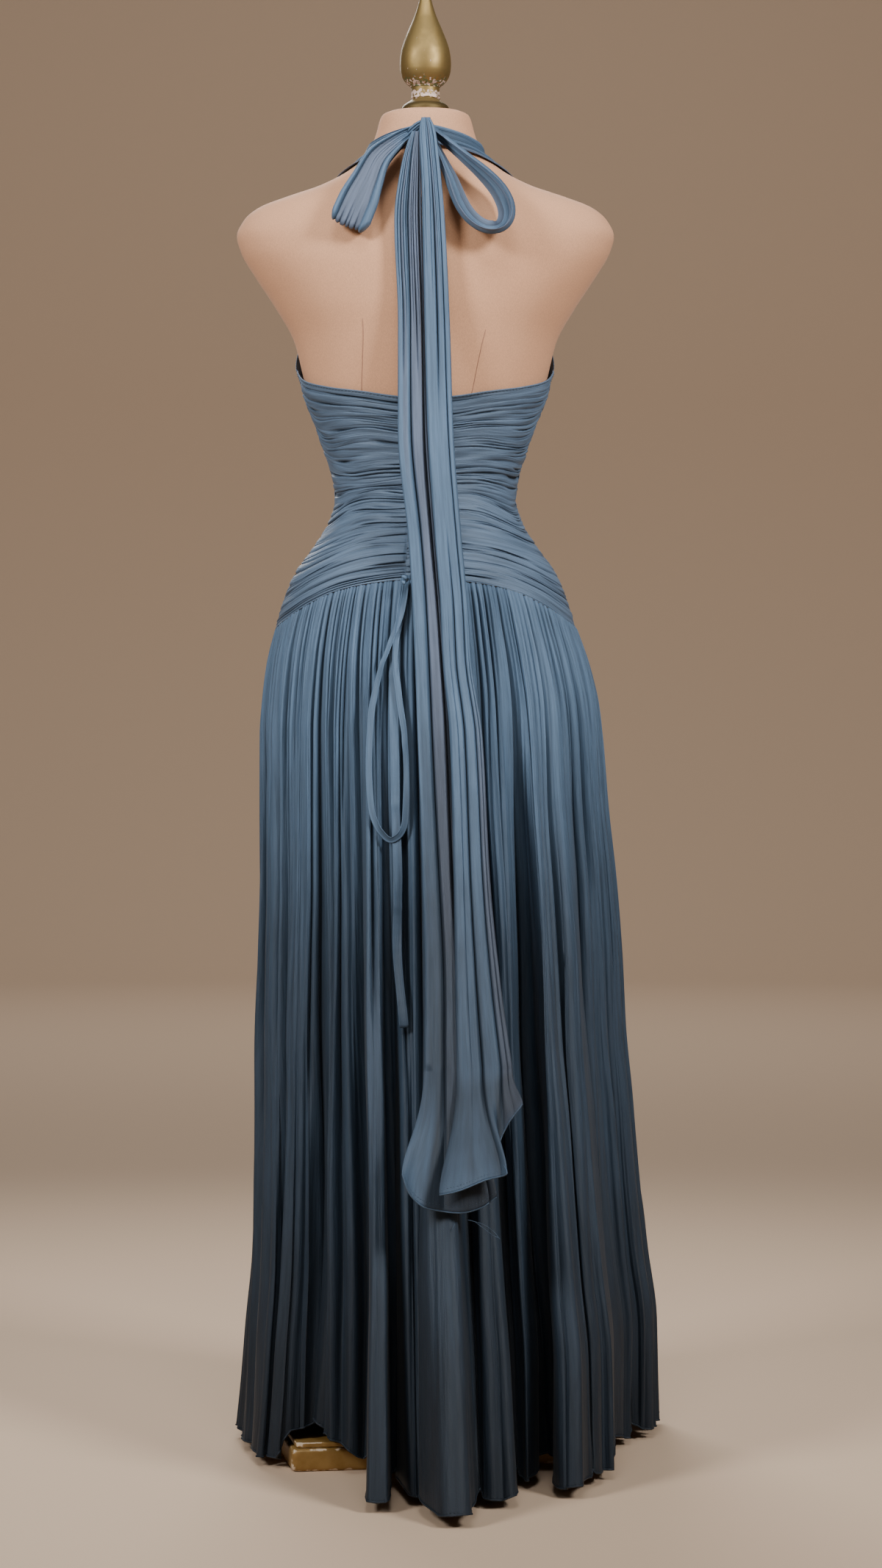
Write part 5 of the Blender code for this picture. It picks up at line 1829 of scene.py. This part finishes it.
    def _open_loop(self) -> None:
        """Make the loop that stands open, its band on edge and folded lengthwise."""
        along = np.linspace(0.0, 1.0, 2 * self.rows)
        path = BOW_RIGHT.points("x y z", along)
        padded = np.pad(path, ((6, 6), (0, 0)), mode="reflect", reflect_type="odd")
        path = np.mean([padded[shift : shift + len(path)] for shift in range(13)], axis=0)
        step = unit(np.gradient(path, axis=0))
        tilt = math.radians(24.0)
        across = BACK * math.cos(tilt) + unit(np.cross(step, BACK)) * math.sin(tilt)
        across = unit(across - step * (across * step).sum(-1, keepdims=True))
        creases = lengthwise(63, (-0.36, -0.13, 0.12, 0.34), 0.045)
        places = lines_through(creases.places, -0.5, 0.5, 10)
        widths = BOW_RIGHT.at("width", along)
        cupped = 0.005 * (2 * places[None, :]) ** 2 * (widths / widths.max())[:, None]
        sway = 0.02 * np.sin(9.0 * along + 0.5)[:, None]
        deep = creases.depth(places[None, :] + sway, along[:, None])
        rise = cupped - 0.0060 * deep
        grid = folded_band(path, across, widths, places, rise)
        stripe = np.sin(places * 13.0 + 1.2)[None, :] * np.ones_like(rise)
        under = ease(stripe * 1.2 + 0.2) * 0.8
        piece = sheet_piece(
            "bow_right_loop", grid, self.finishes.strap, under, self.wall, deep=deep * 0.9,
            node="bow_right",
        )


@dataclass
class Tail:
    """A long pleated end of the bow, opening out to a flared hem."""

    finishes: Finishes
    skirt: Skirt  # the skirt that it lies on
    side: str  # which tail it is
    edges: Table  # its left and right edge, by height
    hem: Table  # the shape of its hem
    pleats: Table  # its pleats
    layer: float  # how far it lies off the other tail
    shade: float = 0.0  # how much painted shade darkens the flare above its hem
    flare: float = 0.455  # below this height it opens out
    crest: float = 0.0064  # how far its strands stand off what they lie on
    depth: float = 0.0056  # of a full pleat
    rows: int = 170  # mesh rows down to the flare
    flare_rows: int = 46  # mesh rows of the flare

    def _rest(self) -> tuple[Array, Array]:
        """Find how far back the tail lies, at heights from its hem to its top.

        Returns:
            The heights and the y there.
        """
        levels = np.linspace(0.28, self.edges.values[-1, 0], 130)
        rests = []
        for z in levels:
            hang = float(TAIL_HANG.at("out", z)) if z > TAIL_HANG.values[0, 0] else 0.0
            spread = 0.020 * float(ease((self.flare - z) / 0.12)) + 0.004
            left = float(TAIL_LEFT.at("left", z)) + spread
            right = float(TAIL_RIGHT.at("right", z)) - spread
            resting = self.skirt.back_at(z, left, right) + 0.0012 if z < 0.975 else 0.0
            rests.append(max(hang, resting))
        padded = np.pad(rests, 3, mode="edge")
        highest = np.max([padded[shift : shift + len(rests)] for shift in range(7)], axis=0)
        return levels, averaged(highest, 7)

    def _tone(self, across: Array, z: Array) -> Array:
        """Tell how grey the cloth looks: where its other side is turned out.

        Args:
            across: Places across.
            z: Heights.

        Returns:
            How much of the greyer side shows, 0 to 1.
        """
        if self.side == "left":
            grey = ease((across - 0.50) / 0.02) * (1 - 0.5 * ease((0.62 - z) / 0.1))
            inner = ease((across - 0.17) / 0.02) * ease((0.32 - across) / 0.02)
            return np.maximum(grey, inner * ease((z - 1.05) / 0.1) * 0.8)
        strip = ease((across - 0.80) / 0.04) * ease((0.92 - z) / 0.2)
        inner = ease((across - 0.52) / 0.02) * ease((0.64 - across) / 0.02)
        return np.maximum(strip, inner * ease((z - 1.25) / 0.1) * 0.7)

    def _creases(self, seed: int) -> Creases:
        """Lay out the pleats."""
        skews = np.random.default_rng(seed).uniform(-0.4, 0.4, len(self.pleats.values))
        return Creases(*self.pleats.values.T, skews, fade=0.12, round_foot=0.12, steepness=2.7)

    def _grid(self) -> tuple[Array, Array]:
        """Lay the strands down from the knot and open them at the hem; tell where the cloth gets
        painted shade too.

        Returns:
            Points [row][column], and how much painted shade each gets: in its creases, in the
            hollow and over the flare.
        """
        levels, rests = self._rest()
        seed = 71 if self.side == "left" else 72
        creases = self._creases(seed)
        across = lines_through(creases.places[1:-1], 0.0, 1.0, 8)
        top = self.edges.values[-1, 0]
        wiggle, swell = Wander(seed + 5, 0.6, 0.5), Wander(seed + 9, 0.5, 0.35)
        grid, deep = [], []
        for z in np.linspace(top, self.flare, self.rows):
            fall = (top - z) / (top - self.flare)
            left, right = float(self.edges.at("left", z)), float(self.edges.at("right", z))
            loose = self.layer * float(ease((top - z) / 0.12))
            shift = 0.022 * wiggle.at(across, top - z) * np.sin(np.pi * across)
            narrow = min(1.0, (left - right) / 0.022)
            x = left + (right - left) * (across + shift)
            share = np.clip(creases.depth(across, np.array(fall)), 0.0, 1.1)
            valley = share * self.depth + self._tucked(across)
            below = float(ease((0.95 - z) / 0.2))
            # painted shade in the creases and, lower down, in the hollow between the curled edges
            deep.append(share + below * self._hollow_shade(across + 0.24) * 0.55)
            puff = 0.0009 * swell.at(across, top - z)
            rest = float(np.interp(z, levels, rests))
            y = rest + loose + (self.crest + puff - valley) * narrow
            grid.append(np.stack([x, y, np.full_like(x, z)], -1))
        above, valley, first, dark = grid[-1], valley / self.depth, grid[0], deep[-1]
        hem_x, hem_z, hem_out = (self.hem.at(key, across) for key in ("x", "z", "out"))
        for part in np.linspace(0.0, 1.0, self.flare_rows + 1)[1:]:
            spread = ease((part + part * part) / 2)
            x = above[:, 0] + (hem_x - above[:, 0]) * spread
            z = above[:, 2] + (hem_z - above[:, 2]) * part
            rest = np.interp(z, levels, rests)
            flatter = 1 - 0.55 * part
            y = rest + self.layer + hem_out * part + self.crest * (1 - 0.4 * part)
            y = y - valley * self.depth * flatter + self._curl(across) * part**2.2
            grid.append(np.stack([x, y, z], -1))
            # painted shade over the flare, lighter again at its hem edge
            shaded = dark + (0.5 * share + self._hollow_shade(across) - dark) * ease(part / 0.7)
            kept = 1 - 0.6 * ease((part - 0.8) / 0.2)
            deep.append(shaded + self.shade * ease(part / 0.25) * kept)
        back, up = (0.008, 0.001) if self.side == "left" else (0.006, 0.0022)
        for turn in np.radians([22, 45, 68, 90, 112, 135, 158, 180]):
            over = np.array([0.0, back * (math.cos(turn) - 1), up * math.sin(turn)])
            grid.insert(0, first + over)
            deep.insert(0, deep[0])
        return np.array(grid), np.array(deep)

    def _tucked(self, across: Array) -> Array:
        """Return how far the left tail goes back where the right one lies over it."""
        return 0.0040 * ease((across - 0.80) / 0.12) if self.side == "left" else 0.0 * across

    def _hollow_shade(self, across: Array) -> Array:
        """Return how much painted shade the cloth gets where it runs back between the curled edges.
        """
        right = 0.6 * ease((across - 0.66) / 0.05) * ease((0.86 - across) / 0.08)
        return 1.1 * ease((across - 0.25) / 0.12) if self.side == "left" else right

    def _curl(self, across: Array) -> Array:
        """Return how far the hem's free edge curls up off the skirt.

        Args:
            across: Places across.

        Returns:
            Lengths.
        """
        if self.side == "left":
            return 0.020 * bell(across, 0.0, 0.24)
        front = bell(across, 0.12, 0.22) + bell(across, 0.55, 0.12)
        return 0.017 * front + 0.010 * bell(across, 0.95, 0.10)

    def build(self) -> None:
        """Make the tail and its rolled hem."""
        grid, deep = self._grid()
        spread = lines_through(self.pleats.column("place")[1:-1], 0.0, 1.0, 8)
        under = self._tone(spread[None, :], grid[..., 2])
        name = f"tail_{self.side}"
        piece = sheet_piece(
            f"{name}_cloth", grid, self.finishes.strap, under, wall=0.0005, deep=deep, node=name
        )
        hem = sewn_edge(
            f"{name}_hem", self.finishes.strap, BACK,
            (grid[-1], 0.0008), (grid[-3] + BACK * 0.0006, 0.0036, 0.0019, 0.00022),
        )
        if self.side == "left":
            self._threads()

    def _threads(self) -> None:
        """Make the loose threads that hang from the hem."""
        courses = (
            ((-0.045, -0.06, -0.0725, -0.08), (0.3, 0.296, 0.288, 0.279)),
            ((-0.053, -0.064, -0.073, -0.08), (0.298, 0.29, 0.283, 0.28)),
            ((-0.033, -0.03, -0.0255, -0.0225), (0.296, 0.29, 0.285, 0.278)),
        )
        along = np.linspace(0.0, 3.0, 24)
        rest = self.skirt.back_at(0.290, 0.0, -0.080) + 0.0035
        y = rest + 0.002 * np.sin(along * 2.0)
        parts = []
        for course in courses:
            x, z = (monotone(np.arange(4.0), np.array(knots), along) for knots in course)
            parts.append(tube_mesh(np.stack([x, y, z], -1), 0.00028, 5, BACK))
        threads = make_piece("tail_threads", *joined(parts), self.finishes.strap)
        settle(threads, Slot.CHIFFON)


@dataclass
class Ribbon:
    """The narrow ribbon at the foot of the closure: its loop, its free end and its tie."""

    finishes: Finishes
    skirt: Skirt  # the skirt that it lies on
    rows: int = 160  # mesh rows along a stretch

    def build(self) -> None:
        """Make the three pieces."""
        self._stretch("end", RIBBON_END, 0.0105, 0.0012, 0.50)
        self._stretch("loop", RIBBON_LOOP, 0.0074, 0.0044, 0.75)
        self._tie()

    def _stretch(
        self, name: str, course: Table, width: float, lift: float, twist: float
    ) -> None:
        """Lay one stretch of ribbon on the skirt's crests.

        Args:
            name: The stretch's name.
            course: Its places, as seen from behind.
            width: Its width.
            lift: How far off the cloth it lies.
            twist: How much it turns on edge, here and there.
        """
        along = np.linspace(course.values[0, 0], course.values[-1, 0], self.rows)
        x, z = course.at("x", along), course.at("z", along)
        level = np.minimum(z, float(SEAM.facing(np.array(CLOSURE))) - 0.004)
        rest = [self.skirt.back_at(high, at + 0.014, at - 0.014) for at, high in zip(x, level)]
        path = np.stack([x, averaged(rest, 4) + lift + 0.0012, z], -1)
        step = unit(np.gradient(path, axis=0))
        side = unit(np.cross(step, BACK))
        angle = twist * Wander(91, 1.0, 0.33).at(0.0, along)
        across = side * np.cos(angle)[:, None] + np.cross(step, side) * np.sin(angle)[:, None]
        places = np.linspace(-0.5, 0.5, 13)
        edges = bell(np.abs(places), 0.44, 0.09)
        kinks = bell(along[:, None], np.array([0.17, 0.46, 0.71]), 0.012).sum(-1)
        rise = 0.0006 * edges[None, :] + 0.0011 * kinks[:, None]
        grid = folded_band(path, across, np.full(self.rows, width), places, rise)
        piece = sheet_piece(
            f"ribbon_{name}_cloth", grid, self.finishes.strap, wall=0.0005, node=f"ribbon_{name}"
        )

    def _tie(self) -> None:
        """Make the small tie from which the ribbon hangs."""
        part = np.linspace(0.0, 1.0, 24)
        centre = np.array([0.0222, 0.1415, 0.9850])
        swing = 2.6 * math.pi * part
        curl = [0.0022 * np.cos(swing), 0.0016 * np.sin(swing), 0.0085 * (0.5 - part)]
        tube = tube_mesh(centre + np.stack(curl, -1), 0.0022, 8, np.array([0.0, 1.0, 0.3]))
        settle(make_piece("ribbon_tie", *tube, self.finishes.strap), Slot.CHIFFON)


# ---- The studio ----


@dataclass
class Studio:
    """A plain pale floor that curves up far away, soft lights and the camera."""

    eye: tuple = (-0.018, 4.1, 0.757)  # the camera's place
    lens: float = 81.35  # its focal length
    floor_reach: float = 9.5  # how far the floor is level
    wall_reach: float = 12.0  # where the wall stands
    wall_top: float = 6.5  # the wall's height
    sides: int = 96  # mesh columns round the floor

    def build(self) -> None:
        """Make the floor, the lights and the camera."""
        self._floor()
        self._world()
        self._lamp("key", (-2.3, 2.5, 2.9), (0.0, 0.0, 1.35), 0.9, 29.0, 80.0)
        self._lamp("left", (2.3, 2.5, 2.7), (0.0, 0.0, 1.35), 0.9, 25.0, 80.0)
        self._lamp("top", (0.0, 1.6, 3.4), (0.0, 0.0, 1.20), 1.0, 6.5, 80.0)
        self._lamp("front", (0.6, -3.2, 2.9), (0.0, 0.0, 1.1), 1.8, 30.0, 90.0)
        self._lamp("wall_behind", (0.0, -5.5, 6.2), (0.0, -9.5, 0.0), 2.5, 190.0, 160.0)
        self._lamp("wall_ahead", (0.0, 5.5, 6.2), (0.0, 9.5, 0.0), 2.5, 190.0, 160.0)
        self._camera()

    def _floor(self) -> None:
        """Make the floor as one round sweep."""
        bend = self.wall_reach - self.floor_reach
        arc = np.linspace(0.0, math.pi / 2, 16)
        outline = [(0.01, 0.0), (2.0, 0.0), (5.0, 0.0)]
        outline += [(self.floor_reach + bend * math.sin(a), bend * (1 - math.cos(a))) for a in arc]
        outline.append((self.wall_reach, self.wall_top))
        grid = turned_grid(*np.array(outline).T, self.sides)
        faces = grid_faces(len(outline), self.sides, closed=True).tolist()
        faces.append(tuple(range(self.sides)))
        material = bpy.data.materials.new("pale_floor")
        material.use_nodes = True
        pale = {"Base Color": (0.60, 0.44, 0.31), "Roughness": 0.9}
        Wiring(material.node_tree).feed(material.node_tree.nodes["Principled BSDF"], pale)
        floor = make_piece("studio_floor", grid, faces, material)

    @staticmethod
    def _world() -> None:
        """Give the sky a soft, even light."""
        world = bpy.data.worlds.new("soft_sky")
        world.use_nodes = True
        sky = {"Color": (1.0, 0.98, 0.96), "Strength": 0.09}
        Wiring(world.node_tree).feed(world.node_tree.nodes["Background"], sky)
        bpy.context.scene.world = world

    @staticmethod
    def _lamp(
        name: str, place: tuple, aim: tuple, size: float, power: float, spread: float
    ) -> None:
        """Hang one soft light.

        Args:
            name: The light's name.
            place: Where it hangs.
            aim: What it faces.
            size: Its side.
            power: Its power, in watts.
            spread: How wide its beam is, in degrees.
        """
        data = bpy.data.lights.new(name, "AREA")
        data.shape, data.size = "SQUARE", size
        data.energy, data.spread = power, math.radians(spread)
        lamp = bpy.data.objects.new(name, data)
        lamp.location, lamp.rotation_mode = place, "QUATERNION"
        toward = Vector(aim) - Vector(place)
        lamp.rotation_quaternion = toward.to_track_quat("-Z", "Y")
        bpy.context.scene.collection.objects.link(lamp)

    def _camera(self) -> None:
        """Place the camera behind the wearer, level."""
        data = bpy.data.cameras.new("camera")
        data.lens, data.sensor_width = self.lens, 36.0
        camera = bpy.data.objects.new("camera", data)
        camera.location, camera.rotation_euler = self.eye, (math.pi / 2, 0.0, math.pi)
        bpy.context.scene.collection.objects.link(camera)
        bpy.context.scene.camera = camera


def main() -> None:
    """Build every sub-assembly in order."""
    logging.basicConfig(level=logging.INFO, format="%(name)s %(message)s")
    finishes = Finishes.build()
    Studio().build()
    DressForm(finishes).build()
    Finial(finishes).build()
    Stand(finishes).build()
    Bodice(finishes).build()
    Halter(finishes).build()
    skirt = Skirt(finishes)
    skirt.build()
    Bow(finishes).build()
    Tail(finishes, skirt, "left", TAIL_LEFT, TAIL_LEFT_HEM, PLEATS_LEFT, 0.0).build()
    Tail(finishes, skirt, "right", TAIL_RIGHT, TAIL_RIGHT_HEM, PLEATS_RIGHT, 0.0068, 0.5).build()
    Ribbon(finishes, skirt).build()


if __name__ == "__main__":
    main()
